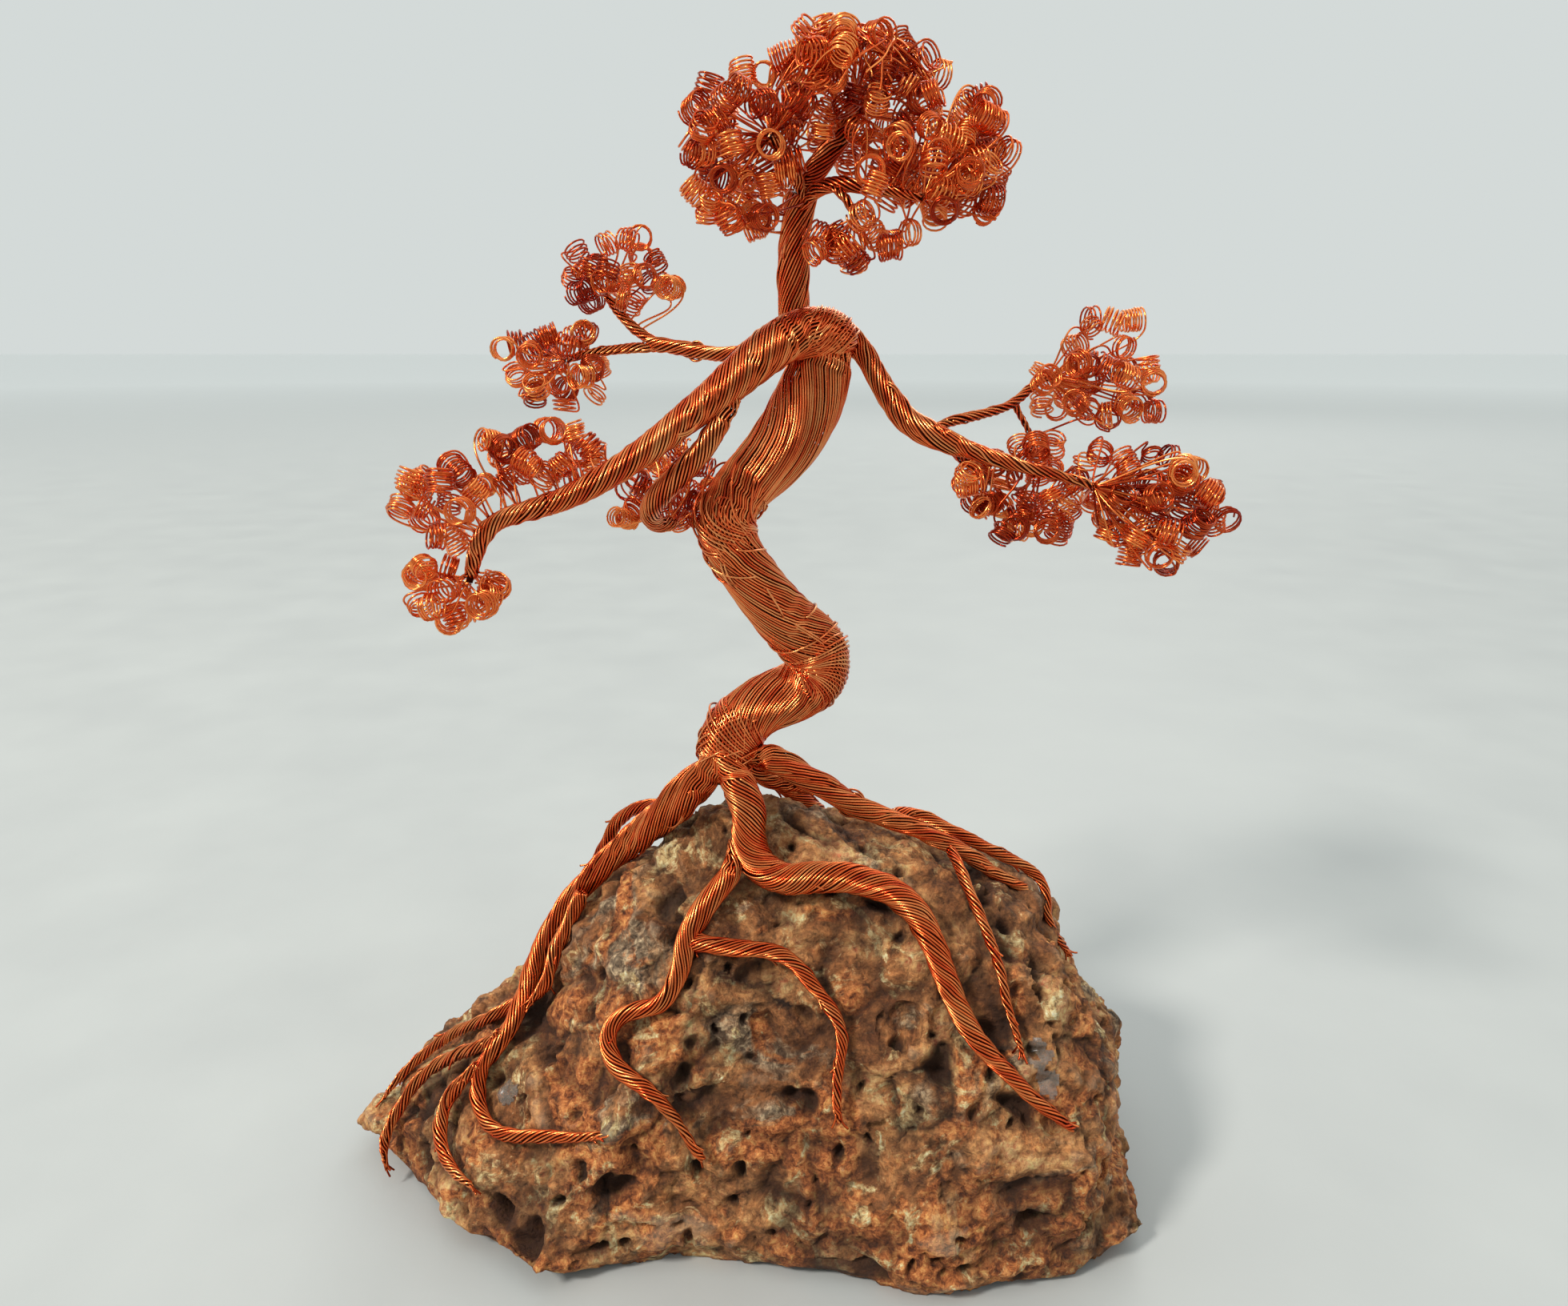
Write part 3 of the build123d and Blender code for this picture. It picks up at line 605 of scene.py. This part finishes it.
# the upper trunk bellies out to the right, where its wires are slack
belly_share = (mast_s - s_left_bend - 3 * MM) / (s_trunk_top - s_left_bend - 3 * MM)
belly = np.sin(math.pi * np.clip(belly_share, 0, 1)) ** 1.3
mast[:, 0] += 1.5 * MM * belly
mast[:, 3] *= 1 + 0.15 * belly
lay_stops = [
    (0, -30), (s_lower_bend - 8 * MM, -30), (s_lower_bend, -40), (s_lower_bend + 10 * MM, -28),
    (s_left_bend - 10 * MM, -24), (s_left_bend, -22), (s_left_bend + 9 * MM, -17),
    (s_trunk_top - 12 * MM, -22), (s_trunk_top - 2 * MM, -20),
    (s_top_bend, -30), (s_top_bend + 8 * MM, -42), (s_long_end, -38), (mast_s[-1], -30),
]
mast_lay = np.interp(mast_s, *zip(*lay_stops))

trunk_wires = Wires()
ply_stops = [
    0, s_left_bend + 4 * MM, s_left_bend + 14 * MM, s_trunk_top - 6 * MM, s_trunk_top + 4 * MM,
]
mast_ply = np.interp(mast_s, ply_stops, [0, 0, 0.24, 0.24, 0])
wind(trunk_wires, mast, mast_lay, span=(0, s_trunk_top), loose=0.22, edge=0.3 * MM, plies=2,
     ply_depth=mast_ply, phase=-0.35)
for centre_s, half, lay, lift in (
    (11 * MM, 8 * MM, -70, 0.3), (s_lower_bend, 9 * MM, -74, 0.35), (s_left_bend, 7 * MM, -64, 0.25),
):
    wind(trunk_wires, mast, lay, lift=lift * MM, span=(centre_s - half, centre_s + half), loose=0.25,
         edge=3 * MM, slack=0.8 * MM)
# a few single wires that cross the lay
for start_s, end_s, lay, share in (
    (1 * MM, 11 * MM, 58, 0.3), (5 * MM, 16 * MM, 40, 0.06),
    (s_lower_bend + 4 * MM, s_lower_bend + 15 * MM, -72, 0.12),
    (s_left_bend - 20 * MM, s_left_bend - 9 * MM, 56, 0.02),
    (s_left_bend - 4 * MM, s_left_bend + 12 * MM, -40, 0.15),
    (s_left_bend - 12 * MM, s_left_bend - 2 * MM, -60, 0.1),
):
    wind(trunk_wires, mast, lay, lift=0.55 * MM, span=(start_s, end_s), share=share, loose=0.5, edge=2 * MM,
         slack=0.9 * MM, phase=CHANCE.uniform(0, 6))
trunk_wires.build("trunk_strands", COPPER,
                  ["trunk_winding_lower", "trunk_winding_middle", "trunk_winding_upper"])

branch_wires = Wires()
wind(branch_wires, mast, mast_lay, span=(s_trunk_top - MM, s_long_end + MM), loose=0.2, edge=0.3 * MM)
wind(branch_wires, mast, -62, lift=0.2 * MM, span=(s_trunk_top - 3 * MM, s_top_bend + 4 * MM), loose=0.15,
     edge=3 * MM, slack=0.35 * MM)
branch_wires.build("long_branch_strands", COPPER, ["left_long_branch"])
tip_wires = Wires()
wind(tip_wires, mast, mast_lay, span=(s_long_end - MM, mast_s[-1]), loose=0.3, edge=0.3 * MM)
tip_wires.build("long_branch_tip_strands", COPPER, ["left_long_branch_tip"])

# every other bundle: its lay, its plies and how deep they are
BUNDLES = {
    "left_inner_branch": (-34, 0, 0), "leader_stem": (24, 0, 0), "crown_spray_up": (24, 0, 0),
    "crown_spray_left": (26, 0, 0), "crown_spray_right": (26, 0, 0), "crown_droop_twig": (26, 0, 0),
    "left_upper_branch": (-28, 2, 0.1), "left_upper_twig": (-30, 0, 0),
    "left_upper_side_twig": (-30, 0, 0),
    "right_branch": (26, 2, 0.08), "right_lower_limb": (24, 0, 0), "right_upper_twig": (28, 2, 0.12),
    "right_small_twig": (28, 2, 0.12), "root_left_main": (-27, 3, 0.17),
    "root_left_side_strand": (-26, 2, 0.16),
    "root_left_thin_outer": (-28, 2, 0.18), "root_left_thin_middle": (-28, 2, 0.18),
    "root_left_thin_inner": (-28, 2, 0.18), "root_centre": ((-48, -26), 3, 0.08),
    "root_middle_left": (-24, 3, 0.14), "root_middle_left_fork": (-30, 2, 0.14),
    "root_right_main": (-24, 3, 0.16),
    "root_right_lower_strand": (-24, 2, 0.12), "root_right_upper_strand": (-26, 2, 0.16),
    "root_right_middle_strand": (-28, 2, 0.16), "root_rear_left": (-28, 2, 0.16),
    "root_rear_right": (-28, 3, 0.12),
}
for node_name, (lay, plies, depth) in BUNDLES.items():
    rows = LINES[node_name]
    start = rows[:5, 3].mean()
    rows = extended(resample(rows, 0.7 * MM), 1.6 * start, 0.5 * MM, 0.85, 0.6)
    lay = np.linspace(*lay, len(rows)) if isinstance(lay, tuple) else lay
    bundle = Wires(6 if start > 2.5 * MM else 5)
    wind(bundle, rows, lay, plies=plies, ply_depth=depth, loose=0.3, phase=CHANCE.uniform(0, 6))
    is_root = node_name.startswith("root_")
    if is_root:
        fray(bundle, rows, (0.3, 0.55, 0.8), 1, 3.5 * MM)
        fray(bundle, rows, (0.97,), 3, 3 * MM)
    bundle.build(node_name + "_strands", ROOT_COPPER if is_root else COPPER,
                 [node_name])


def inside_of(bundles, label):
    """Dark tubes just under the wires of some bundles, in one piece: painted shade that shows in the gaps
    between the wires.
    """
    spots, faces, base = [], [], 0
    for rows in bundles:
        tube_spots, tube_faces = tube(rows, WIRE * 0.95)
        spots.append(tube_spots)
        faces += [tuple(base + k for k in face) for face in tube_faces]
        base += len(tube_spots)
    mesh = bpy.data.meshes.new(label)
    mesh.from_pydata(np.vstack(spots).tolist(), [], faces)
    mesh.polygons.foreach_set("use_smooth", np.ones(len(mesh.polygons), bool))
    return piece(label, mesh, INSIDE_PAINTED_SHADE)


trunk_inside = np.column_stack([mast[:, :3], mast[:, 3] * (1 - mast_ply)])
inside_of([trunk_inside[mast_s < s_trunk_top + MM]], "trunk_inside")
inside_of([mast[mast_s > s_trunk_top - MM]] + [LINES[k] for k in BUNDLES if not k.startswith("root_")],
          "branch_insides")
inside_of([LINES[k] for k in BUNDLES if k.startswith("root_")], "root_insides")


# ---------------------------------------------------------------- coiled leaves


def coil_solids(name):
    """Centre, axis, length and radius of every wound coil of a foliage node."""
    co, tri = node_mesh(name)
    keys, index = np.unique(np.round(co / 2e-6).astype(np.int64), axis=0, return_inverse=True)
    index = index.ravel()
    tri = index[tri]
    label = np.arange(len(keys))
    while True:
        low = label[tri].min(1)
        new = label.copy()
        for k in range(3):
            np.minimum.at(new, tri[:, k], low)
        new = new[new]
        if (new == label).all():
            break
        label = new
    spots = np.zeros((len(keys), 3))
    spots[index] = co
    coils = []
    for mark in np.unique(label):
        mine = spots[label == mark]
        faces = spots[tri[label[tri[:, 0]] == mark]]
        normals = np.cross(faces[:, 1] - faces[:, 0], faces[:, 2] - faces[:, 0])
        area = np.linalg.norm(normals, axis=1, keepdims=True)
        spread = (normals / np.maximum(area, 1e-15)).T @ normals
        values, vectors = np.linalg.eigh((spread + spread.T) / 2)
        axis = vectors[:, 0]
        centre = mine.mean(0)
        height = (mine - centre) @ axis
        flat = np.linalg.norm(mine - centre - height[:, None] * axis, axis=1)
        coils.append((centre, axis, np.ptp(height), flat.max()))
    return coils


twig_spots = []
for node_name, rows in {**LINES, "mast": mast}.items():
    if not node_name.startswith(("root_", "trunk_core")):
        twig_spots += [(row[:3], row[3]) for row in rows]
twig_tree = KDTree(len(twig_spots))
for index, (place, r) in enumerate(twig_spots):
    twig_tree.insert(place, index)
twig_tree.balance()


def leaf_coil(wires, centre, axis, length, radius, tone):
    """One leaf: a few loose turns of wire, a free end and a lead to the nearest twig."""
    side = unit(np.cross(axis, (0.2, 0.5, 0.83)))
    across = np.cross(axis, side)
    pitch = CHANCE.uniform(0.65, 1.05) * MM
    length = length * CHANCE.uniform(1.1, 1.8) + 0.6 * MM
    turns = length / pitch
    steps = int(turns * 15)
    t = np.linspace(0, 1, steps)
    angle = 2 * math.pi * (turns * t + CHANCE.random())
    swell = radius - LEAF_WIRE / 2 + wander(1, steps, 0.13 * MM)[0] - 0.2 * MM * CHANCE.random()
    height = (t - 0.5) * (length - LEAF_WIRE) + wander(1, steps, 0.1 * MM)[0]
    sway = wander(2, steps, 0.16 * MM, 2)
    out = np.cos(angle)[:, None] * side + np.sin(angle)[:, None] * across
    spots = (centre + out * swell[:, None] + height[:, None] * axis
             + sway[0][:, None] * side + sway[1][:, None] * across)
    index = twig_tree.find(centre + axis * height[-1])[1]
    place, r = twig_spots[index]
    going = unit(spots[-1] - spots[-2])
    end = place + unit(spots[-1] - place) * r * 0.9
    reach = np.linalg.norm(end - spots[-1])
    bend = np.linspace(0, 1, max(int(reach / (0.6 * MM)), 6))[1:, None]
    first_pull = spots[-1] + going * min(reach * 0.45, 5 * MM)
    last_pull = end + unit(spots[-1] - end) * reach * 0.3 + CHANCE.normal(0, 0.7 * MM, 3)
    lead = ((1 - bend) ** 3 * spots[-1] + 3 * (1 - bend) ** 2 * bend * first_pull
            + 3 * (1 - bend) * bend ** 2 * last_pull + bend ** 3 * end)
    spots = np.vstack([spots, lead])
    out = np.vstack([out, np.repeat(out[-1:], len(lead), 0)])
    spots[:, 2] -= max(0.0, spots[:, 2].max() - cad_box[1][2])
    wires.add(spots, out, LEAF_WIRE, tone)


def thatch(wires, low, high, count):
    """Loose wires that sweep down over a cluster from its top, like thatch."""
    low, high = np.array(low), np.array(high)
    centre, half = (low + high) / 2, (high - low) / 2 * 0.95
    centre[2], half[2] = centre[2] - 0.35 * half[2], 1.3 * half[2]
    for _ in range(count):
        t = np.linspace(0, 1, 26)
        polar = CHANCE.uniform(0.05, 0.7) + CHANCE.uniform(0.4, 0.8) * t
        spin = CHANCE.uniform(0, 2 * math.pi) + CHANCE.normal(0, 0.5) * t + wander(1, len(t), 0.08)[0]
        out = np.column_stack([np.sin(polar) * np.cos(spin), np.sin(polar) * np.sin(spin), np.cos(polar)])
        reach = CHANCE.uniform(0.86, 0.99) + wander(1, len(t), 0.015)[0]
        wires.add(centre + out * half * reach[:, None], out, LEAF_WIRE, CHANCE.random())


# the share of coils in a cluster that have another coil beside them
CROWDING = {
    "foliage_crown_top": 0.3, "foliage_crown_left": 0.5, "foliage_crown_right": 0.6,
    "foliage_crown_droop": 0.5, "foliage_right_low": 0.5, "foliage_right_middle": 0.4,
    "foliage_inner": 0.5,
}
for node_name in sorted(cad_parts):
    if node_name.startswith("foliage_"):
        leaves = Wires(5, packed=False)
        low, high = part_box(node_name)
        for centre, axis, length, radius in coil_solids(node_name):
            leaf_coil(leaves, centre, axis, length, radius, CHANCE.random())
            if CHANCE.random() < CROWDING.get(node_name, 0.2):
                beside = centre + unit(CHANCE.normal(0, 1, 3)) * CHANCE.uniform(2.5, 4.5) * MM
                beside = np.clip(beside, np.array(low) + 2 * MM, np.array(high) - 2 * MM)
                turned = unit(CHANCE.normal(0, 1, 3))
                size = radius * CHANCE.uniform(0.85, 1.05)
                leaf_coil(leaves, beside, turned, length, size, CHANCE.random())
        if node_name == "foliage_crown_top":
            thatch(leaves, low, high, 210)
        leaves.build(node_name + "_coils", LEAF_COPPER, [node_name])


# ---------------------------------------------------------------- rock


def make_rock():
    """The rock's CAD shape, weathered: worn corners, lumps, ledges, cracks and pores."""
    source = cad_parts["rock"]
    rough = bpy.data.objects.new("rock_draft", source.data.copy())
    bpy.context.scene.collection.objects.link(rough)
    remesh = rough.modifiers.new("Remesh", "REMESH")
    remesh.mode = "VOXEL"
    remesh.voxel_size = 0.85 * MM
    worn = rough.modifiers.new("Worn", "SMOOTH")
    worn.iterations = 14
    worn.factor = 0.6
    graph = bpy.context.evaluated_depsgraph_get()
    mesh = bpy.data.meshes.new_from_object(rough.evaluated_get(graph))
    bpy.data.objects.remove(rough)
    count = len(mesh.vertices)
    co = np.empty(count * 3)
    mesh.vertices.foreach_get("co", co)
    co = co.reshape(-1, 3)
    normals = np.empty(count * 3)
    mesh.vertex_normals.foreach_get("vector", normals)
    normals = normals.reshape(-1, 3)
    push, painted_hollow_shade = np.zeros(count), np.zeros(count)
    for i in range(count):
        p = Vector(co[i] * 1000)
        lumps = noise.fractal(p / 26, 0.9, 2.1, 4) * 2.8
        warped = p + 3.0 * noise.noise_vector(p / 9)
        near, chunk = noise.voronoi(warped / 11)
        chunks = min((near[1] - near[0]) * 2.2, 1) - 0.7 + 0.9 * noise.noise(chunk[0] * 3.1)
        crags = (0.45 - abs(noise.noise(p / 7 + Vector((7, 3, 1))))) * 2.4 - 0.6
        grain = noise.fractal(p / 2.6, 0.7, 2.0, 3) * 0.6
        strata = p.z + 0.16 * p.x + 6 * noise.noise(p / 28)
        shelf = (strata / 15) % 1
        ledge = shelf if shelf < 0.8 else (1 - shelf) * 4
        wide = 0.5 + 0.5 * noise.noise(p / 40 + Vector((3, 9, 4))) * 2
        distances, spots = noise.voronoi((p + 1.6 * noise.noise_vector(p / 4)) / 5.4)
        lottery = noise.noise(spots[0] * 13.7) + 0.22 * wide
        pore = 0.0
        if lottery > 0.2:
            size = 0.2 + 0.55 * min(lottery - 0.2, 0.5)
            pore = min(max(0.0, 1 - distances[0] / size) * 2.0, 1.0)
        small, small_spots = noise.voronoi((p + 0.8 * noise.noise_vector(p / 2)) / 2.3)
        dimple = max(0.0, 1 - small[0] / 0.42) if noise.noise(small_spots[0] * 9.1) > 0.0 else 0.0
        caves, cave_spots = noise.voronoi((p + 3.5 * noise.noise_vector(p / 6)) / 15)
        cave = 0.0
        if noise.noise(cave_spots[0] * 7.3) + 0.2 * wide > 0.08:
            cave = min(max(0.0, 1 - caves[0] / 0.3) * 1.8, 1.0)
        push[i] = (lumps + chunks * 1.4 + crags * 0.8 + grain + 1.9 * (ledge - 0.6)
                   - 2.8 * pore - 0.8 * dimple - 4.2 * cave)
        # painted shade: how deep a point lies in a pore, dimple, cave or crack
        painted_hollow_shade[i] = max(pore, 0.8 * dimple, 0.85 * cave, 0.7 * max(0.0, -0.45 - chunks) * 2)
    push = np.clip(push, -7.5, 2.0) * MM
    base = smoothstep((co[:, 2] - 1.5 * MM) / (6 * MM))
    co += normals * (push * (0.25 + 0.75 * base) - 0.3 * MM)[:, None]
    rings = np.vstack([resample(LINES[k], 0.8 * MM) for k in LINES if k.startswith("root_")])
    tree = KDTree(len(rings))
    for index, ring in enumerate(rings):
        tree.insert(ring[:3], index)
    tree.balance()
    shade = np.zeros(count)
    for i in range(count):
        _, index, far = tree.find(co[i])
        room = rings[index, 3] * 0.93
        if far < room:
            co[i] = rings[index, :3] + (co[i] - rings[index, :3]) / max(far, 1e-6) * room
        shade[i] = max(0.0, 1 - (far - room) / (1.6 * MM)) if far < room + 1.6 * MM else 0.0
    lowest = co[:, 2] < 0.7 * MM
    co[lowest, 2] = 0
    co[:, 2] = np.maximum(co[:, 2], 0)
    mesh.vertices.foreach_set("co", co.ravel())
    mesh.update()
    mesh.polygons.foreach_set("use_smooth", np.ones(len(mesh.polygons), bool))
    for name, values in (("painted_hollow_shade", painted_hollow_shade), ("shade", shade), ("push", push / MM)):
        attribute = mesh.attributes.new(name, "FLOAT", "POINT")
        attribute.data.foreach_set("value", values.astype(np.float32))
    return mesh


def stone_material():
    n = Nodes("porous_stone")
    patch = n.noise(16, 6, 0.66, 0.9)
    speck = n.noise(1.9, 6, 0.72, 0.4)
    grit = n.noise(0.6, 3, 0.7)
    brown = n.ramp(patch, (0.34, (0.13, 0.046, 0.018)), (0.46, (0.33, 0.13, 0.045)),
                   (0.55, (0.58, 0.27, 0.1)), (0.68, (0.82, 0.5, 0.23)))
    grey = n.ramp(speck, (0.34, (0.11, 0.07, 0.042)), (0.5, (0.26, 0.175, 0.105)), (0.66, (0.5, 0.38, 0.24)))
    rust = n.ramp(speck, (0.34, (0.24, 0.055, 0.018)), (0.5, (0.52, 0.16, 0.045)), (0.66, (0.7, 0.3, 0.1)))
    cream = n.ramp(speck, (0.34, (0.36, 0.21, 0.085)), (0.5, (0.68, 0.47, 0.21)), (0.66, (0.9, 0.72, 0.42)))
    color = n.mix(n.grey(n.noise(23, 5, 0.62, 0.7), 0.55, 0.63), brown, grey)
    height = n.new("ShaderNodeSeparateXYZ")
    n.link(n.place, height.inputs[0])
    low_down = n.math("ADD", n.noise(21, 6, 0.65, 1.2), n.math("MULTIPLY", height.outputs["Z"], -1.8))
    color = n.mix(n.grey(low_down, 0.43, 0.5), color, rust)
    color = n.mix(n.grey(n.noise(14, 6, 0.72, 1.4), 0.55, 0.62), color, cream)
    mottle = n.ramp(speck, (0.34, (0.1, 0.095, 0.09)), (0.5, (0.5, 0.49, 0.48)), (0.66, (0.9, 0.88, 0.84)))
    color = n.mix(0.85, color, mottle, "OVERLAY")
    # painted shade: darker where the surface is pushed in, in its recesses
    color = n.mix(n.grey(n.attribute("push"), -0.2, -3.4, 0, 0.9), color, (0.06, 0.022, 0.01))
    color = n.mix(n.grey(n.attribute("push"), 0.8, 2.4, 0, 0.4), color, (0.6, 0.45, 0.29))
    # painted shade in pores, dimples, caves and cracks
    color = n.mix(n.math("MULTIPLY", n.attribute("painted_hollow_shade"), 0.8), color, (0.03, 0.014, 0.008))
    color = n.mix(n.math("MULTIPLY", n.attribute("shade"), 0.6), color, (0.05, 0.02, 0.012))
    relief = n.math("ADD", n.math("MULTIPLY", speck, 1.4), n.math("MULTIPLY", grit, 0.4))
    relief = n.math("ADD", relief, n.math("MULTIPLY", n.cells(1.3), 0.45))
    n.bump(relief, 0.9, 0.0011)
    return n.set(Base_Color=color, Roughness=n.grey(speck, 0.3, 0.7, 0.7, 0.95), Specular_IOR_Level=0.35)


rock = piece("rock_stone", make_rock(), stone_material(), ["rock"])


def glue_material():
    n = Nodes("clear_glue")
    cloud = n.noise(2.5, 4, 0.6, 0.5)
    n.bump(n.noise(1.2, 2, 0.5), 0.3, 0.0003)
    color = n.ramp(cloud, (0.3, (0.42, 0.34, 0.26)), (0.7, (0.66, 0.6, 0.52)))
    return n.set(Base_Color=color, Roughness=n.grey(cloud, 0.3, 0.7, 0.12, 0.3),
                 Transmission_Weight=0.8, IOR=1.45)


def dress(node_name, material):
    """A CAD node that stays as it is, with a better material."""
    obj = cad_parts[node_name]
    obj.data.materials.clear()
    obj.data.materials.append(material)


def wind_tie(wires, centre, axis, radius):
    """A tie: one and a half turns of wire pulled snug, its ends tucked down."""
    side = unit(np.cross(axis, (0.2, 0.5, 0.83)))
    across = np.cross(axis, side)
    turns = CHANCE.uniform(1.4, 2.3)
    steps = int(turns * 40)
    t = np.linspace(0, 1, steps)
    angle = 2 * math.pi * (turns * t + CHANCE.random())
    out = np.cos(angle)[:, None] * side + np.sin(angle)[:, None] * across
    snug = radius - WIRE * 0.75 + wander(1, steps, 0.12 * MM)[0] - 1.2 * WIRE * (2 * np.abs(t - 0.5)) ** 14
    height = (t - 0.5) * turns * WIRE * 1.15 + wander(1, steps, 0.1 * MM)[0]
    wires.add(centre + out * snug[:, None] + height[:, None] * axis, out, WIRE, CHANCE.uniform(0.5, 1))


for node_name in ("trunk_ties", "branch_ties", "root_ties"):
    ties = Wires(6)
    for centre, axis, _, radius in coil_solids(node_name):
        wind_tie(ties, centre, axis, radius)
    ties.build(node_name + "_wound", COPPER, [node_name])


def glue_films(thickness=0.35 * MM):
    """Thin smears of clear glue that lie on the rock round each dab."""
    stone = rock.data
    co = np.empty(len(stone.vertices) * 3)
    stone.vertices.foreach_get("co", co)
    co = co.reshape(-1, 3)
    normals = np.empty(len(stone.vertices) * 3)
    stone.vertex_normals.foreach_get("vector", normals)
    normals = normals.reshape(-1, 3)
    height = np.zeros(len(co))
    for centre, *_ in coil_solids("glue_dabs"):
        away = np.linalg.norm(co - centre, axis=1)
        for i in np.flatnonzero(away < 7 * MM):
            rim = (3.6 + 1.6 * noise.noise(Vector(co[i] * 1000 / 2.6))) * MM
            height[i] = max(height[i], 1 - (away[i] / rim) ** 2)
    corner = np.array([tuple(face.vertices) for face in stone.polygons if len(face.vertices) == 4])
    shown = corner[(height[corner] > 0).all(1)]
    used, shown = np.unique(shown, return_inverse=True)
    lifted = co[used] + normals[used] * (thickness * np.sqrt(height[used]))[:, None]
    mesh = bpy.data.meshes.new("glue_films")
    mesh.from_pydata(lifted.tolist(), [], shown.reshape(-1, 4).tolist())
    mesh.polygons.foreach_set("use_smooth", np.ones(len(mesh.polygons), bool))
    return piece("glue_films", mesh, glue_material(), ["glue_dabs"])


glue_films()
# the trunk core gets the same painted shade
dress("trunk_core", INSIDE_PAINTED_SHADE)


# ---------------------------------------------------------------- floor, light and camera

FLOOR = -0.0002  # just below the rock's flat underside
LENS = 24.8
TILT = 16  # degrees that the camera looks down


def make_floor():
    cells, size = 60, 40.0
    line = np.linspace(-size / 2, size / 2, cells + 1)
    xs, ys = np.meshgrid(line, line)
    spots = np.column_stack([xs.ravel(), ys.ravel(), np.full(xs.size, FLOOR)])
    faces = []
    for row in range(cells):
        for column in range(cells):
            a = row * (cells + 1) + column
            faces.append((a, a + 1, a + cells + 2, a + cells + 1))
    mesh = bpy.data.meshes.new("floor")
    mesh.from_pydata(spots.tolist(), [], faces)
    n = Nodes("pale_floor")
    cloud = n.noise(60, 3, 0.5)
    n.bump(n.noise(3, 2, 0.5), 0.1, 0.0004)
    color = n.ramp(cloud, (0.3, (0.42, 0.432, 0.425)), (0.7, (0.455, 0.468, 0.458)))
    # painted light: the floor is paler away from the middle, standing in for light that falls off towards the
    # horizon
    reach = n.new("ShaderNodeVectorMath", operation="LENGTH")
    n.link(n.place, reach.inputs[0])
    color = n.mix(n.grey(reach.outputs["Value"], 1.0, 6.0), color, (0.72, 0.735, 0.73))
    n.set(Base_Color=color, Roughness=n.grey(cloud, 0.3, 0.7, 0.5, 0.62))
    obj = bpy.data.objects.new("floor", mesh)
    bpy.context.scene.collection.objects.link(obj)
    obj.data.materials.append(n.material)


def lamp(name, place, size, power, color, aim=(0, 0, 0.12)):
    data = bpy.data.lights.new(name, "AREA")
    data.shape = "DISK"
    data.size = size
    data.energy = power
    data.color = color
    obj = bpy.data.objects.new(name, data)
    bpy.context.scene.collection.objects.link(obj)
    obj.location = place
    obj.rotation_euler = (Vector(aim) - Vector(place)).to_track_quat("-Z", "Y").to_euler()


make_floor()
lamp("key", (-1.7, -1.3, 2.1), 0.5, 68.0, (1.0, 0.96, 0.9))
lamp("fill", (2.2, -1.4, 1.2), 1.4, 5.0, (0.92, 0.96, 1.0))
lamp("rim", (0.7, 2.4, 1.7), 1.2, 11.0, (1.0, 0.98, 0.95))
world = bpy.data.worlds.new("studio")
bpy.context.scene.world = world
world.use_nodes = True
tree = world.node_tree
background = tree.nodes["Background"]
direction = tree.nodes.new("ShaderNodeTexCoord")
split = tree.nodes.new("ShaderNodeSeparateXYZ")
tree.links.new(direction.outputs["Generated"], split.inputs[0])


def sweep(output, low, high, dark, light):
    node = tree.nodes.new("ShaderNodeMapRange")
    node.interpolation_type = "SMOOTHSTEP"
    for key, value in zip(("From Min", "From Max", "To Min", "To Max"), (low, high, dark, light)):
        node.inputs[key].default_value = value
    tree.links.new(split.outputs[output], node.inputs["Value"])
    return node.outputs["Result"]


total = tree.nodes.new("ShaderNodeMath")
total.operation = "ADD"
tree.links.new(sweep("Y", -1.0, 0.4, 0.27, 0.7), total.inputs[0])
tree.links.new(sweep("Z", 0.3, 0.9, 0.0, 0.5), total.inputs[1])
tree.links.new(total.outputs[0], background.inputs["Strength"])
background.inputs["Color"].default_value = (0.94, 1.0, 0.985, 1)

camera_data = bpy.data.cameras.new("camera")
camera_data.sensor_width = 36
camera_data.lens = LENS
camera = bpy.data.objects.new("camera", camera_data)
bpy.context.scene.collection.objects.link(camera)
camera.location = (0, -0.2317, 0.1942)
camera.rotation_euler = (math.radians(90 - TILT), 0, 0)
camera_data.clip_start = 0.01
bpy.context.scene.camera = camera
bpy.context.scene.view_settings.view_transform = "Standard"
